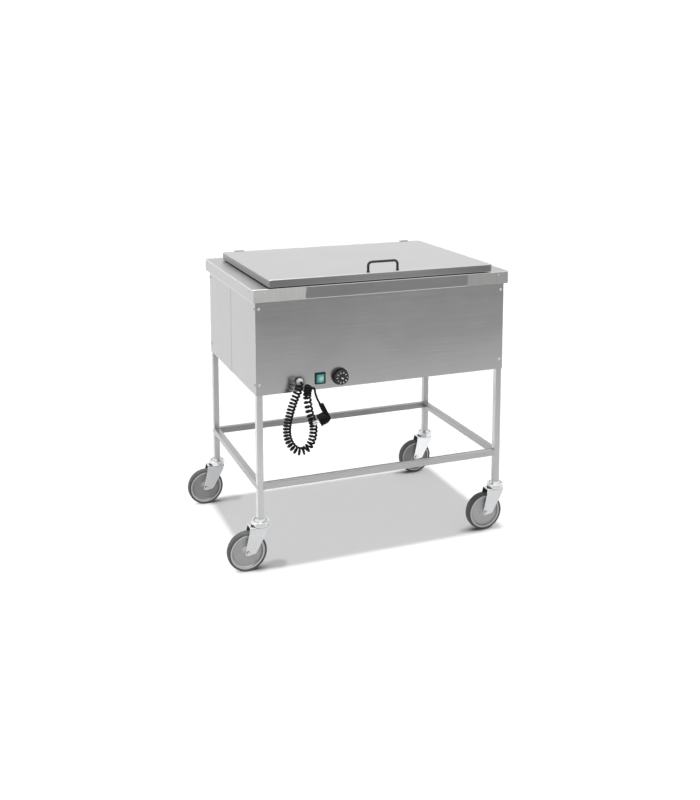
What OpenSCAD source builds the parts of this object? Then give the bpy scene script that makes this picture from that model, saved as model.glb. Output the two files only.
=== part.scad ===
// Hostess trolley: a heated well in a sheet steel body on four tube legs,
// with a hinged lid, four swivel casters and a curly mains lead.
// Millimetres, Z up. The floor is Z = 0 and the controls face -Y.

/* [Top frame] */
// Width of the top frame, left to right
frame_w = 876; // [820:1:960]
// Depth of the top frame, front to back
frame_d = 600; // [560:1:680]
// Height of the top frame above the floor
frame_top = 886; // [840:1:940]
// Height of the folded-down rim
rim_h = 41; // [30:1:55]
// Corner radius of the rim
rim_r = 10; // [7:1:13]
// Sheet thickness of the top frame
frame_t = 2; // [1.5:0.1:2.5]

/* [Body] */
// Set-back of the body panels from the rim
body_inset = 13; // [11:0.5:24]
// Height of the body underside above the floor
body_bottom = 555; // [520:1:600]
// Sheet thickness of the body panels
panel_t = 1.2; // [1:0.1:1.6]
// Width of the folds along the panel edges
fold = 12; // [8:1:16]
// Gap between the two halves of a side panel
seam_gap = 1; // [0.4:0.1:1.6]
// Distance of the top screws below the panel's top edge
screw_top = 22; // [16:1:40]
// Distance of the bottom screws above the body underside
screw_bottom = 32; // [20:1:45]
// Shank diameter of the panel screws
screw_d = 4; // [3:0.5:5]

/* [Legs and stretchers] */
// Outside width of the square tube
tube = 20; // [18:1:24]
// Wall thickness of the tube
tube_t = 1.5; // [1.2:0.1:2]
// Outside corner radius of the tube
tube_r = 2; // [1.6:0.1:2.5]
// Height of the stretchers' underside
stretcher_z = 254; // [220:1:320]
// Diameter of the stretcher bolts
bolt_d = 6; // [5:0.5:8]
// Length of the steel insert in each leg's foot
insert_l = 30; // [26:1:50]

/* [Well] */
// Width of the well opening
well_w = 634; // [560:1:660]
// Depth of the well opening, front to back
well_d = 512; // [440:1:520]
// Depth of the tank below the frame top
well_deep = 200; // [150:1:240]
// Corner radius of the tank
well_r = 40; // [26:1:60]
// Radius between the tank's walls and floor
well_floor_r = 18; // [12:1:22]
// Sheet thickness of the tank
well_t = 1.5; // [1:0.1:2]

/* [Lid] */
// Width of the lid
lid_w = 760; // [730:1:780]
// Depth of the lid, front to back
lid_d = 557; // [546:1:562]
// Height of the lid's turned-down edge
lid_h = 24; // [20:1:32]
// Gap between the lid's edge and the frame
lid_gap = 3; // [2:0.5:5]
// Distance of the lid's left edge from the frame's left edge
lid_left = 51; // [40:1:60]
// How far the lid passes the front of the frame
lid_front = 3; // [0:0.5:8]
// Corner radius of the lid
lid_r = 9; // [6:1:12]
// Sheet thickness of the lid
lid_t = 1.5; // [1:0.1:2]
// Width of the return fold under the lid's edge
lid_fold = 14; // [12:1:20]
// Spacing of the handle's posts
handle_w = 100; // [80:1:140]
// Height of the handle above the lid
handle_h = 35; // [30:1:50]
// Diameter of the handle's bar
handle_d = 8; // [7:0.5:11]
// Distance of the handle from the lid's front edge
handle_set = 20; // [16:1:40]
// Radius of the handle's bends
handle_bend = 12; // [8:1:16]

/* [Hinges] */
// Width of each hinge
hinge_w = 32; // [26:1:50]
// Distance between the two hinges
hinge_span = 634; // [400:1:680]
// Diameter of the hinge pins
hinge_pin_d = 4; // [3:0.5:5]
// Thickness of the hinge leaves
leaf_t = 2; // [1.5:0.1:2.5]

/* [Controls] */
// Height of the controls above the floor
control_z = 590; // [586:1:620]
// Distance of the thermostat knob from the frame's left edge
knob_in = 284; // [268:1:378]
// Diameter of the knob's skirt
knob_d = 54; // [44:1:60]
// Height of the knob
knob_h = 22; // [18:1:30]
// Diameter of the thermostat spindle
spindle_d = 6; // [5:0.5:8]
// Distance of the rocker switch from the frame's left edge
switch_in = 219; // [208:1:233]
// Width of the switch frame
bezel_w = 35; // [33:0.5:40]
// Height of the switch frame
bezel_h = 37; // [36:0.5:44]
// Width of the rocker
rocker_w = 24; // [20:0.5:25]
// Height of the rocker
rocker_h = 27; // [24:0.5:29]
// Tilt of the rocker to each side, in degrees
rocker_tilt = 6; // [4:0.5:7]
// Distance of the cable gland from the frame's left edge
gland_in = 148; // [138:1:158]
// Diameter of the cable gland's nut
gland_d = 22; // [20:0.5:24]

/* [Mains lead] */
// Diameter of the cord
cord_d = 6.5; // [5.8:0.1:6.8]
// Outside diameter of the coil
coil_d = 26.4; // [23:0.2:27]

/* [Casters] */
// Diameter of the wheels
wheel_d = 125; // [110:1:130]
// Width of the tyre
tyre_w = 26; // [22:1:30]
// Diameter of the wheel disc inside the tyre
disc_d = 110; // [96:1:114]
// How far the axle trails behind the swivel
trail = 44; // [34:1:48]
// Overall height of a caster, from the floor to the leg
caster_h = 162; // [156:1:176]
// Sheet thickness of the fork
fork_t = 2.5; // [2:0.1:3]
// Side gap between the tyre and the fork
tyre_gap = 3; // [2:0.5:5]
// Diameter of the wheel axle
axle_d = 6.5; // [5:0.5:9]
// Diameter of the swivel stem
stem_d = 12; // [10:0.5:14]
// Diameter of the caster's upper race
race_d = 57; // [53:1:60]

/* [Clearances] */
// Radial clearance of a turning fit
run = 0.06; // [0.03:0.01:0.1]
// Clearance between pieces that lie close to each other
gap = 0.3; // [0.2:0.05:0.5]

/* [Hidden] */
$fn = 48;

steel = [0.72, 0.73, 0.74];
zinc = [0.85, 0.86, 0.87];
black = [0.06, 0.06, 0.06];
grey = [0.58, 0.58, 0.6];

// Body box and leg centres
body_w = frame_w - 2 * body_inset;
body_d = frame_d - 2 * body_inset;
body_top = frame_top - rim_h;
face_y = -body_d / 2;
leg_x = body_w / 2 - panel_t - tube / 2;
leg_y = body_d / 2 - panel_t - tube / 2;
leg_z = caster_h;
leg_top = frame_top - frame_t;
str_mid = stretcher_z + tube / 2;
screw_zs = [body_bottom + screw_bottom, body_top - screw_top];
screw_gap = 0.1;
rim_head_h = 0.8;

// Lid and well
lid_x = -frame_w / 2 + lid_left + lid_w / 2;
lid_y0 = -frame_d / 2 - lid_front;
lid_y1 = lid_y0 + lid_d;
lid_y = (lid_y0 + lid_y1) / 2;
lid_z0 = frame_top + lid_gap;
lid_z1 = lid_z0 + lid_h;
lid_edge_r = 3;
well_x = lid_x;
well_y = lid_y0 + lid_d / 2;
handle_y = lid_y0 + handle_set;

// Hinges: the pin lies behind the lid's rear edge, just under its top
knuckle_d = 2 * hinge_pin_d;
pin_y = lid_y1 + leaf_t + knuckle_d / 2 - 1;
pin_z = lid_z1 - 1;

// Controls
knob_x = -frame_w / 2 + knob_in;
switch_x = -frame_w / 2 + switch_in;
gland_x = -frame_w / 2 + gland_in;
bezel_t = 3;
spindle_reach = 16;
gland_hex = 6;
gland_body = 8;
gland_nose = 10;
gland_out = gland_hex + gland_body + gland_nose;
gland_thread = 0.72 * gland_d;

// Casters
axle_z = wheel_d / 2;
fork_in = tyre_w / 2 + tyre_gap;
fork_out = fork_in + fork_t;
race_lip = 14.5;
crown_z = caster_h - 20;

// The frame's origin: the middle of the floor under the box that bounds the
// trolley, whose wheels trail to the left and whose knob stands out in front
left_end = -leg_x - trail - wheel_d / 2;
right_end = frame_w / 2 + rim_head_h;
front_end = face_y - max(knob_h + gap, gland_out);
rear_end = frame_d / 2 + rim_head_h;
shift_x = -(left_end + right_end) / 2;
shift_y = -(front_end + rear_end) / 2;

// The coil's axis from the gland's nose down, round the bottom and up again,
// as offsets from the nose
coil_steps_mm = [
    [-9.8, -13, 0], [-10, -13, -11], [-13.5, -12, -23], [-19, -10, -37],
    [-30, -7, -67],
    [-40, -4, -104], [-46, -2, -139], [-43.5, -2, -170], [-33, -2, -194],
    [-16, -2, -212], [3, -2, -217], [20, -2, -209], [32.5, -2, -191],
    [38.5, -3, -166], [39, -3, -144], [34, -5, -121], [26, -7, -98],
    [21, -10, -75], [17, -12, -53], [15, -15, -34], [16, -18, -20],
    [18, -22, -6]];
gland_end = [gland_x, face_y - gland_out, control_z];
coil_axis = [for (p = coil_steps_mm) gland_end + p];
// The pitch of the curls along the axis, from 0 at the gland to 1 at the end
coil_pitch = [[0, 12], [0.06, 12], [0.14, 10.8], [0.3, 9.8], [0.37, 10.8],
    [0.43, 12.6], [0.56, 13.2], [0.62, 11.4], [0.7, 11.2], [0.77, 13],
    [0.8, 15.3], [0.91, 15.3], [0.935, 9.4], [1, 8.8]];
// The free lead, after the coil's end and before the plug's neck
tail_route = [for (p = [[33, -32, -15], [35, -33, -28], [39, -35, -42]])
    gland_end + p];
plug_at = gland_end + [48, -38, -62];
// Lean of the plug from upright and its turn towards the body, in degrees,
// and the way from neck to body
plug_down = 26;
plug_turn = 8;
plug_in = [sin(plug_down) * cos(plug_turn), -sin(plug_down) * sin(plug_turn),
    -cos(plug_down)];

// ---------- shared shapes ----------

module at_origin() { translate([shift_x, shift_y, 0]) children(); }

// Rounded rectangle, centred
module rrect(w, d, r) {
    square([w - 2 * r, d], center = true);
    square([w, d - 2 * r], center = true);
    for (x = [-1, 1], y = [-1, 1])
        translate([x * (w / 2 - r), y * (d / 2 - r)]) circle(r);
}

// Square tube section
module tube_section() {
    difference() {
        rrect(tube, tube, tube_r);
        rrect(tube - 2 * tube_t, tube - 2 * tube_t, max(tube_r - tube_t, 0.3));
    }
}

// Carries a profile round a rounded rectangle. The profile's x runs out from
// the corner's centre and its y runs up.
module around(w, d, r) {
    for (q = [[1, 1, 0], [-1, 1, 90], [-1, -1, 180], [1, -1, 270]])
        translate([q[0] * (w / 2 - r), q[1] * (d / 2 - r), 0])
            rotate([0, 0, q[2]]) rotate_extrude(angle = 90) children();
    for (a = [0, 180]) rotate([0, 0, a]) translate([w / 2 - r, 0, 0])
        rotate([90, 0, 0])
            linear_extrude(d - 2 * r, center = true) children();
    for (a = [90, 270]) rotate([0, 0, a]) translate([d / 2 - r, 0, 0])
        rotate([90, 0, 0])
            linear_extrude(w - 2 * r, center = true) children();
}

// Sheet folded down from the top (y = 0) and back in at the bottom, as a
// profile whose two bends are round
module folded(r, h, t, edge) {
    difference() {
        union() {
            for (y = [-edge, -h]) translate([0, y]) square([r - edge, edge]);
            translate([0, -h + edge]) square([r, h - 2 * edge]);
            for (y = [-edge, -h + edge]) translate([r - edge, y]) circle(edge);
        }
        translate([-1, -h + edge]) square([r - t + 1, h - 2 * edge]);
        for (y = [-edge, -h + t])
            translate([-1, y]) square([r - edge + 1, edge - t]);
        for (y = [-edge, -h + edge]) translate([r - edge, y]) circle(edge - t);
    }
}

// Four places, mirrored about the trolley's middle
module four(x, y) {
    for (i = [-1, 1], j = [-1, 1]) translate([i * x, j * y, 0]) children();
}

// Pan-head screw along -Z from z = 0, with its head above
module pan_screw(d, l, head_d = 0, head_h = 0) {
    hd = head_d > 0 ? head_d : 2.2 * d;
    hh = head_h > 0 ? head_h : 0.6 * d;
    rotate_extrude() difference() {
        union() {
            translate([0, -l]) square([d / 2, l + hh / 2]);
            intersection() {
                square([hd / 2, hh]);
                translate([0, hh - hd * 0.75]) circle(hd * 0.75, $fn = 96);
            }
        }
        translate([-hd, -l - 1]) square([hd, l + hh + 2]);
    }
}

// Turns a +Z shape to point out of the front (-Y), rear, left or right
module out_front() { rotate([90, 0, 0]) children(); }
module out_rear() { rotate([-90, 0, 0]) children(); }
module out_left() { rotate([0, -90, 0]) children(); }
module out_right() { rotate([0, 90, 0]) children(); }

// ---------- legs and stretchers ----------

module leg(sx, sy) {
    translate([sx * leg_x, sy * leg_y, 0]) difference() {
        translate([0, 0, leg_z]) linear_extrude(leg_top - leg_z)
            tube_section();
        // bolt hole for the front or rear stretcher
        translate([0, 0, str_mid]) rotate([0, 90, 0])
            cylinder(h = tube + 2, d = bolt_d + 0.4, center = true);
        // panel screws, through the outer walls
        for (z = screw_zs) {
            translate([0, sy * tube / 2, z]) rotate([90, 0, 0])
                cylinder(h = 3 * tube_t, d = screw_d + 2 * screw_gap,
                    center = true);
            translate([sx * tube / 2, 0, z]) rotate([0, 90, 0])
                cylinder(h = 3 * tube_t, d = screw_d + 2 * screw_gap,
                    center = true);
        }
    }
}

module leg_front_left() { color(steel) at_origin() leg(-1, -1); }
module leg_front_right() { color(steel) at_origin() leg(1, -1); }
module leg_rear_left() { color(steel) at_origin() leg(-1, 1); }
module leg_rear_right() { color(steel) at_origin() leg(1, 1); }

// Steel inserts in the legs' feet, bored for the caster stems
module leg_inserts() {
    w = tube - 2 * tube_t - 0.1;
    color(zinc) at_origin() four(leg_x, leg_y)
        translate([0, 0, leg_z]) difference() {
            linear_extrude(insert_l) rrect(w, w, 0.4);
            translate([0, 0, -1]) cylinder(h = insert_l + 2, d = stem_d);
        }
}

// A front or rear stretcher, closed by threaded end plates
str_plate = 4;
module stretcher_x(sy) {
    l = 2 * leg_x - tube;
    translate([0, sy * leg_y, str_mid]) rotate([0, 90, 0])
        difference() {
            union() {
                linear_extrude(l, center = true) tube_section();
                for (s = [-1, 1]) translate([0, 0, s * (l - str_plate) / 2])
                    cube([tube - 2 * tube_t, tube - 2 * tube_t, str_plate],
                        center = true);
            }
            for (s = [-1, 1]) translate([0, 0, s * (l - str_plate) / 2])
                cylinder(h = str_plate + 2, d = bolt_d, center = true);
        }
}
module stretcher_y(sx) {
    l = 2 * leg_y - tube;
    translate([sx * leg_x, 0, str_mid]) rotate([90, 0, 0])
        linear_extrude(l, center = true) tube_section();
}
module stretcher_front() { color(steel) at_origin() stretcher_x(-1); }
module stretcher_rear() { color(steel) at_origin() stretcher_x(1); }
module stretcher_left() { color(steel) at_origin() stretcher_y(-1); }
module stretcher_right() { color(steel) at_origin() stretcher_y(1); }

// Button-head bolts through the legs into the stretchers' end plates
module stretcher_bolts() {
    color(zinc) at_origin() for (sx = [-1, 1], sy = [-1, 1])
        translate([sx * (leg_x + tube / 2), sy * leg_y, str_mid])
            rotate([0, sx * 90, 0])
                pan_screw(bolt_d, tube + str_plate + 3, 1.9 * bolt_d,
                    0.58 * bolt_d);
}

// ---------- top frame and body ----------

module rim_places() {
    // small fixings near the rim's corners
    for (s = [-1, 1]) {
        for (f = [0, 180]) rotate([0, 0, f])
            translate([s * (frame_w / 2 - 40), -frame_d / 2, frame_top - 11])
                out_front() children();
        for (f = [0, 180]) rotate([0, 0, f])
            translate([-frame_w / 2, s * (frame_d / 2 - 40), frame_top - 11])
                out_left() children();
    }
}

module top_frame() {
    ret = body_inset + panel_t;
    edge = frame_t + 1;
    color(steel) at_origin() difference() {
        union() {
            translate([0, 0, frame_top]) around(frame_w, frame_d, rim_r)
                folded(rim_r, rim_h, frame_t, edge);
            translate([0, 0, frame_top - frame_t]) linear_extrude(frame_t)
                square([frame_w - 2 * rim_r, frame_d - 2 * rim_r],
                    center = true);
            // return fold under the rim, which the panels meet
            translate([0, 0, body_top]) linear_extrude(frame_t) difference() {
                rrect(frame_w - 2 * edge, frame_d - 2 * edge, rim_r - edge);
                square([frame_w - 2 * ret, frame_d - 2 * ret], center = true);
            }
        }
        translate([well_x, well_y, frame_top - frame_t - 1])
            linear_extrude(frame_t + 2) rrect(well_w, well_d, well_r);
        rim_places() cylinder(h = 3 * frame_t, d = 3.2, center = true);
    }
}

// Front or rear sheet, with the bottom fold between the legs
module wide_panel(sy) {
    h = body_top - body_bottom;
    translate([0, sy * (body_d - panel_t) / 2, body_bottom + h / 2])
        cube([body_w, panel_t, h], center = true);
    w = 2 * leg_x - tube - 1;
    translate([-w / 2, sy > 0 ? body_d / 2 - fold : -body_d / 2, body_bottom])
        cube([w, fold, panel_t]);
}

module screw_holes_y(sy) {
    for (sx = [-1, 1], z = screw_zs)
        translate([sx * leg_x, sy * body_d / 2, z]) rotate([90, 0, 0])
            cylinder(h = 4 * panel_t, d = screw_d + 2 * screw_gap,
                center = true);
}

module front_panel() {
    color(steel) at_origin() difference() {
        wide_panel(-1);
        screw_holes_y(-1);
        translate([0, face_y, control_z]) rotate([90, 0, 0]) {
            translate([knob_x, 0, 0])
                cylinder(h = 4 * panel_t, d = spindle_d + 2, center = true);
            translate([gland_x, 0, 0])
                cylinder(h = 4 * panel_t, d = gland_thread + 0.4,
                    center = true);
            translate([switch_x, 0, 0])
                cube([bezel_w - 3.6, bezel_h - 3.6, 4 * panel_t],
                    center = true);
        }
    }
}

module rear_panel() {
    color(steel) at_origin() difference() {
        wide_panel(1);
        screw_holes_y(1);
    }
}

// Half of a side, with a fold inwards along the seam and the bottom
module side_panel(sx, sy) {
    h = body_top - body_bottom;
    y1 = body_d / 2 - panel_t;
    y0 = seam_gap / 2;
    difference() {
        mirror([sx < 0 ? 1 : 0, 0, 0]) mirror([0, sy < 0 ? 1 : 0, 0]) {
            translate([body_w / 2 - panel_t, y0, body_bottom])
                cube([panel_t, y1 - y0, h]);
            translate([body_w / 2 - fold, y0, body_bottom])
                cube([fold, panel_t, h]);
            translate([body_w / 2 - fold, y0, body_bottom])
                cube([fold, leg_y - tube / 2 - 0.5 - y0, panel_t]);
        }
        for (z = screw_zs)
            translate([sx * body_w / 2, sy * leg_y, z]) rotate([0, 90, 0])
                cylinder(h = 4 * panel_t, d = screw_d + 2 * screw_gap,
                    center = true);
    }
}
module left_panel_front() { color(steel) at_origin() side_panel(-1, -1); }
module left_panel_rear() { color(steel) at_origin() side_panel(-1, 1); }
module right_panel_front() { color(steel) at_origin() side_panel(1, -1); }
module right_panel_rear() { color(steel) at_origin() side_panel(1, 1); }

// Floor of the body, laid on the panels' bottom folds
module bottom_panel() {
    w = body_w - 2 * panel_t - 0.6;
    d = body_d - 2 * panel_t - 0.6;
    n = tube + 1;
    color(steel) at_origin()
        translate([0, 0, body_bottom + panel_t]) linear_extrude(panel_t)
            difference() {
                square([w, d], center = true);
                for (i = [-1, 1], j = [-1, 1])
                    translate([i * leg_x, j * leg_y])
                        square([n, n], center = true);
                // room for the side panels' seam folds
                for (i = [-1, 1]) translate([i * w / 2, 0])
                    square([2 * fold, 2 * panel_t + seam_gap + 1],
                        center = true);
            }
}

// Pan-head screws of the panels and the small fixings of the rim
module panel_screws() {
    l = panel_t + tube_t + 4;
    color(zinc) at_origin() {
        for (sx = [-1, 1], z = screw_zs) {
            translate([sx * leg_x, face_y, z]) out_front()
                pan_screw(screw_d, l);
            translate([sx * leg_x, -face_y, z]) out_rear()
                pan_screw(screw_d, l);
        }
        for (sy = [-1, 1], z = screw_zs) {
            translate([-body_w / 2, sy * leg_y, z]) out_left()
                pan_screw(screw_d, panel_t + tube_t + 1);
            translate([body_w / 2, sy * leg_y, z]) out_right()
                pan_screw(screw_d, panel_t + tube_t + 1);
        }
        rim_places() pan_screw(3, 6, 5, rim_head_h);
    }
}

// Tank: walls and floor fold in one sheet, with a flange under the frame
module well_tank() {
    r = well_r + well_t;
    fr = well_floor_r;
    w = well_w + 2 * well_t;
    d = well_d + 2 * well_t;
    flange = 8;
    color(steel) at_origin()
        translate([well_x, well_y, frame_top - frame_t]) {
            around(w, d, r) {
                translate([r - well_t, -well_deep + fr])
                    square([well_t, well_deep - fr]);
                translate([r - well_t, -well_t]) square([flange, well_t]);
                difference() {
                    intersection() {
                        translate([r - fr, -well_deep + fr]) circle(fr);
                        translate([r - fr, -well_deep]) square([fr, fr]);
                    }
                    translate([r - fr, -well_deep + fr]) circle(fr - well_t);
                }
                translate([0, -well_deep]) square([r - fr, well_t]);
            }
            translate([0, 0, -well_deep]) linear_extrude(well_t)
                square([w - 2 * r, d - 2 * r], center = true);
        }
}

// Tubular element, bent into a U and clipped under the tank's floor
module heating_element() {
    td = 8;
    l = well_w * 0.6;
    s = well_d * 0.25;
    z = frame_top - frame_t - well_deep - td / 2;
    color(grey) at_origin() translate([well_x, well_y, z]) {
        for (j = [-1, 1]) translate([-l / 2, j * s, 0]) rotate([0, 90, 0])
            cylinder(h = l, d = td, $fn = 24);
        translate([l / 2, 0, 0]) rotate([0, 0, -90])
            rotate_extrude(angle = 180) translate([s, 0])
                circle(d = td, $fn = 24);
        for (j = [-1, 1]) translate([-l / 2 - 12, j * s, -2.3])
            rotate([0, 90, 0]) cylinder(h = 12, d = td + 4, $fn = 6);
    }
}

// ---------- controls ----------

// Thermostat behind the panel, with a threaded nose against it
module thermostat_body() {
    color(grey) at_origin() translate([knob_x, face_y + panel_t, control_z])
        rotate([-90, 0, 0]) difference() {
            union() {
                translate([-18, -18, 3]) cube([36, 36, 30]);
                cylinder(h = 3, d = spindle_d + 8);
            }
            translate([0, 0, -1])
                cylinder(h = spindle_reach + 1, d = spindle_d + 2 * run);
        }
}

module thermostat_spindle() {
    color(zinc) at_origin()
        translate([knob_x, face_y - knob_h * 0.6, control_z])
            rotate([-90, 0, 0])
                cylinder(h = knob_h * 0.6 + panel_t + spindle_reach - 1,
                    d = spindle_d);
}

// Round knob: a dial skirt, a stepped body and a dished, fluted front
module control_knob() {
    kr = knob_d / 2;
    br = kr * 0.84;
    color(black) at_origin() translate([knob_x, face_y - gap, control_z])
        rotate([90, 0, 0]) difference() {
            rotate_extrude($fn = 96) difference() {
                union() {
                    square([kr - 1.5, 6]);
                    translate([0, 1.5]) square([kr, 3]);
                    translate([kr - 1.5, 1.5]) circle(1.5, $fn = 24);
                    translate([kr - 1.5, 4.5]) circle(1.5, $fn = 24);
                    square([br - 2, knob_h]);
                    square([br, knob_h - 2]);
                    translate([br - 2, knob_h - 2]) circle(2, $fn = 24);
                }
                translate([-kr, -1]) square([kr, knob_h + 2]);
                // hollow back and dished front
                translate([spindle_d / 2 + 4, -1]) square([br - 10, 5]);
                translate([0, knob_h + 76.4]) circle(78, $fn = 180);
            }
            translate([0, 0, -1])
                cylinder(h = knob_h * 0.6 + 1 - gap, d = spindle_d);
            for (i = [0:15]) rotate([0, 0, i * 22.5 + 11.25])
                translate([br + 1.6, 0, 7])
                    cylinder(h = knob_h, r = 2.6, $fn = 24);
        }
}

// Switch frame and housing, snapped into the panel
pivot_in = 3;
module switch_bezel() {
    ow = rocker_w + 0.8;
    oh = rocker_h + 2.4;
    color(black) at_origin() translate([switch_x, face_y, control_z])
        rotate([90, 0, 0]) difference() {
            union() {
                linear_extrude(bezel_t - 1) rrect(bezel_w, bezel_h, 2);
                linear_extrude(bezel_t) rrect(bezel_w - 2, bezel_h - 2, 1.5);
                translate([0, 0, -24]) linear_extrude(24)
                    rrect(bezel_w - 4, bezel_h - 4, 1);
            }
            translate([0, 0, -12]) linear_extrude(12 + bezel_t + 1)
                rrect(ow, oh, 0.6);
            translate([0, 0, -pivot_in]) rotate([0, 90, 0])
                cylinder(h = ow + 4, r = 1.5 + run, center = true);
        }
}

// Rocker: a concave cap on a cross pin, tilted to one side at rest
module switch_rocker() {
    e = bezel_t + pivot_in + 1.4;
    color([0.1, 0.5, 0.4]) at_origin()
        translate([switch_x, face_y + pivot_in, control_z])
            rotate([90 + rocker_tilt, 0, 0]) {
                rotate([0, 90, 0]) difference() {
                    linear_extrude(rocker_w, center = true) difference() {
                        union() {
                            translate([-e, -rocker_h / 2])
                                square([e - 1, rocker_h]);
                            translate([-2, -7]) square([6, 14]);
                        }
                        translate([-e - 58.6, 0]) circle(60, $fn = 180);
                    }
                }
                rotate([0, 90, 0])
                    cylinder(h = rocker_w + 3.4, r = 1.5, center = true);
            }
}

// Gland: hexagon, body and a domed nut, with its thread through the panel
module cable_gland() {
    r = gland_d / 2;
    color([0.75, 0.75, 0.74]) at_origin()
        translate([gland_x, face_y, control_z]) rotate([90, 0, 0]) {
            cylinder(h = gland_hex, r = r + 1.2, $fn = 6);
            translate([0, 0, -14]) cylinder(h = 15, d = gland_thread);
            translate([0, 0, gland_hex]) rotate_extrude() {
                square([r - 1, gland_body]);
                translate([0, gland_body]) polygon([[0, 0], [r - 0.4, 0],
                    [r - 0.4, 2], [r - 1.2, 4.4], [r - 3, 7], [r - 5.2, 9],
                    [r - 6.6, gland_nose], [0, gland_nose]]);
            }
        }
}

module gland_locknut() {
    color([0.75, 0.75, 0.74]) at_origin()
        translate([gland_x, face_y + panel_t, control_z]) rotate([-90, 0, 0])
            difference() {
                cylinder(h = 4, d = gland_d + 4, $fn = 6);
                translate([0, 0, -1]) cylinder(h = 6, d = gland_thread);
            }
}

// ---------- lid and hinges ----------

module lid() {
    color(steel) at_origin() translate([lid_x, lid_y, 0]) difference() {
        union() {
            translate([0, 0, lid_z1]) around(lid_w, lid_d, lid_r)
                folded(lid_r, lid_h, lid_t, lid_edge_r);
            translate([0, 0, lid_z1 - lid_t]) linear_extrude(lid_t)
                square([lid_w - 2 * lid_r, lid_d - 2 * lid_r], center = true);
            translate([0, 0, lid_z0]) linear_extrude(lid_t) difference() {
                rrect(lid_w - 2 * lid_edge_r, lid_d - 2 * lid_edge_r,
                    lid_r - lid_edge_r);
                rrect(lid_w - 2 * lid_fold, lid_d - 2 * lid_fold, 4);
            }
        }
        for (s = [-1, 1])
            translate([s * handle_w / 2, handle_y - lid_y, lid_z1 - 3])
                cylinder(h = 6, d = 4.4);
    }
}

// Bow handle of bent round bar
module lid_handle() {
    hr = handle_d / 2;
    top = handle_h - hr;
    color(black) at_origin() translate([lid_x, handle_y, lid_z1])
        difference() {
            union() {
                for (s = [-1, 1]) {
                    translate([s * handle_w / 2, 0, 0])
                        cylinder(h = top - handle_bend, r = hr);
                    translate([s * handle_w / 2, 0, 0])
                        cylinder(h = 1.5, r = hr + 1.5);
                }
                for (s = [0, 180]) rotate([0, 0, s])
                    translate([handle_w / 2 - handle_bend, 0,
                        top - handle_bend]) rotate([90, 0, 0])
                        rotate_extrude(angle = 90)
                            translate([handle_bend, 0]) circle(hr);
                translate([0, 0, top]) rotate([0, 90, 0])
                    cylinder(h = handle_w - 2 * handle_bend, r = hr,
                        center = true);
            }
            for (s = [-1, 1]) translate([s * handle_w / 2, 0, -1])
                cylinder(h = 11, d = 4);
        }
}

module handle_screws() {
    color(zinc) at_origin() for (s = [-1, 1])
        translate([lid_x + s * handle_w / 2, handle_y, lid_z1 - lid_t])
            rotate([180, 0, 0]) pan_screw(4, lid_t + 9);
}

// Rubber buffers under the lid's return fold, which rest on the frame
module lid_buffers() {
    i = lid_fold - 4.5;
    h = lid_gap - 0.1;
    w0 = lid_x - lid_w / 2 + i + 20;
    w1 = lid_x + lid_w / 2 - i - 20;
    color(black) at_origin() for (x = [w0, w1], y = [lid_y0 + i, lid_y1 - i])
        translate([x, y, lid_z0 - h]) cylinder(h = h, r = 4);
}

// Knuckles of one hinge: two outer ones on the bracket, one on the leaf
knuckle_gap = 0.4;
module hinge_places() {
    for (s = [-1, 1])
        translate([lid_x + s * hinge_span / 2, pin_y, pin_z]) children();
}

module hinge_brackets() {
    kw = hinge_w / 3;
    foot = 18;
    drop = pin_z - frame_top;
    color(steel) at_origin() hinge_places() difference() {
        union() {
            for (s = [-1, 1]) translate([s * kw, 0, 0]) rotate([0, 90, 0])
                cylinder(h = kw, d = knuckle_d, center = true);
            for (s = [-1, 1]) translate([s * kw, 0, 0])
                translate([-kw / 2, knuckle_d / 2 - leaf_t, -drop])
                    cube([kw, leaf_t, drop]);
            translate([-hinge_w / 2, knuckle_d / 2 - leaf_t, -drop])
                cube([hinge_w, leaf_t, drop - knuckle_d / 2 - 1]);
            translate([-hinge_w / 2, knuckle_d / 2 - leaf_t, -drop])
                cube([hinge_w, foot, leaf_t]);
        }
        rotate([0, 90, 0])
            cylinder(h = hinge_w + 2, d = hinge_pin_d, center = true);
    }
}

module hinge_leaves() {
    kw = hinge_w / 3 - 2 * knuckle_gap;
    y0 = lid_y1 - pin_y;
    color(steel) at_origin() hinge_places() difference() {
        union() {
            rotate([0, 90, 0])
                cylinder(h = kw, d = knuckle_d, center = true);
            translate([-kw / 2, y0, -knuckle_d / 2])
                cube([kw, leaf_t, knuckle_d / 2]);
            translate([-hinge_w / 2, y0, -lid_h + 3])
                cube([hinge_w, leaf_t, lid_h - 3 - knuckle_d / 2 - 0.6]);
            translate([-kw / 2, y0, -knuckle_d / 2 - 1])
                cube([kw, leaf_t, knuckle_d / 2 + 1]);
        }
        rotate([0, 90, 0]) cylinder(h = hinge_w + 2,
            r = hinge_pin_d / 2 + run, center = true);
    }
}

module hinge_pins() {
    color(zinc) at_origin() hinge_places() rotate([0, 90, 0]) {
        cylinder(h = hinge_w, d = hinge_pin_d, center = true);
        for (s = [-1, 1]) translate([0, 0, s * (hinge_w / 2 + 0.6)])
            cylinder(h = 1.2, d = hinge_pin_d + 1.6, center = true);
    }
}

// ---------- mains lead ----------

function unit(v) = v / norm(v);
function spline(p, q, r, s, t) = 0.5 * (2 * q + (r - p) * t
    + (2 * p - 5 * q + 4 * r - s) * t * t
    + (3 * q - p - 3 * r + s) * t * t * t);
function smooth(pts, n) = let (m = len(pts) - 1) concat(
    [for (i = [0:m - 1], k = [0:n - 1]) spline(pts[max(i - 1, 0)], pts[i],
        pts[i + 1], pts[min(i + 2, m)], k / n)], [pts[m]]);

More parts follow.
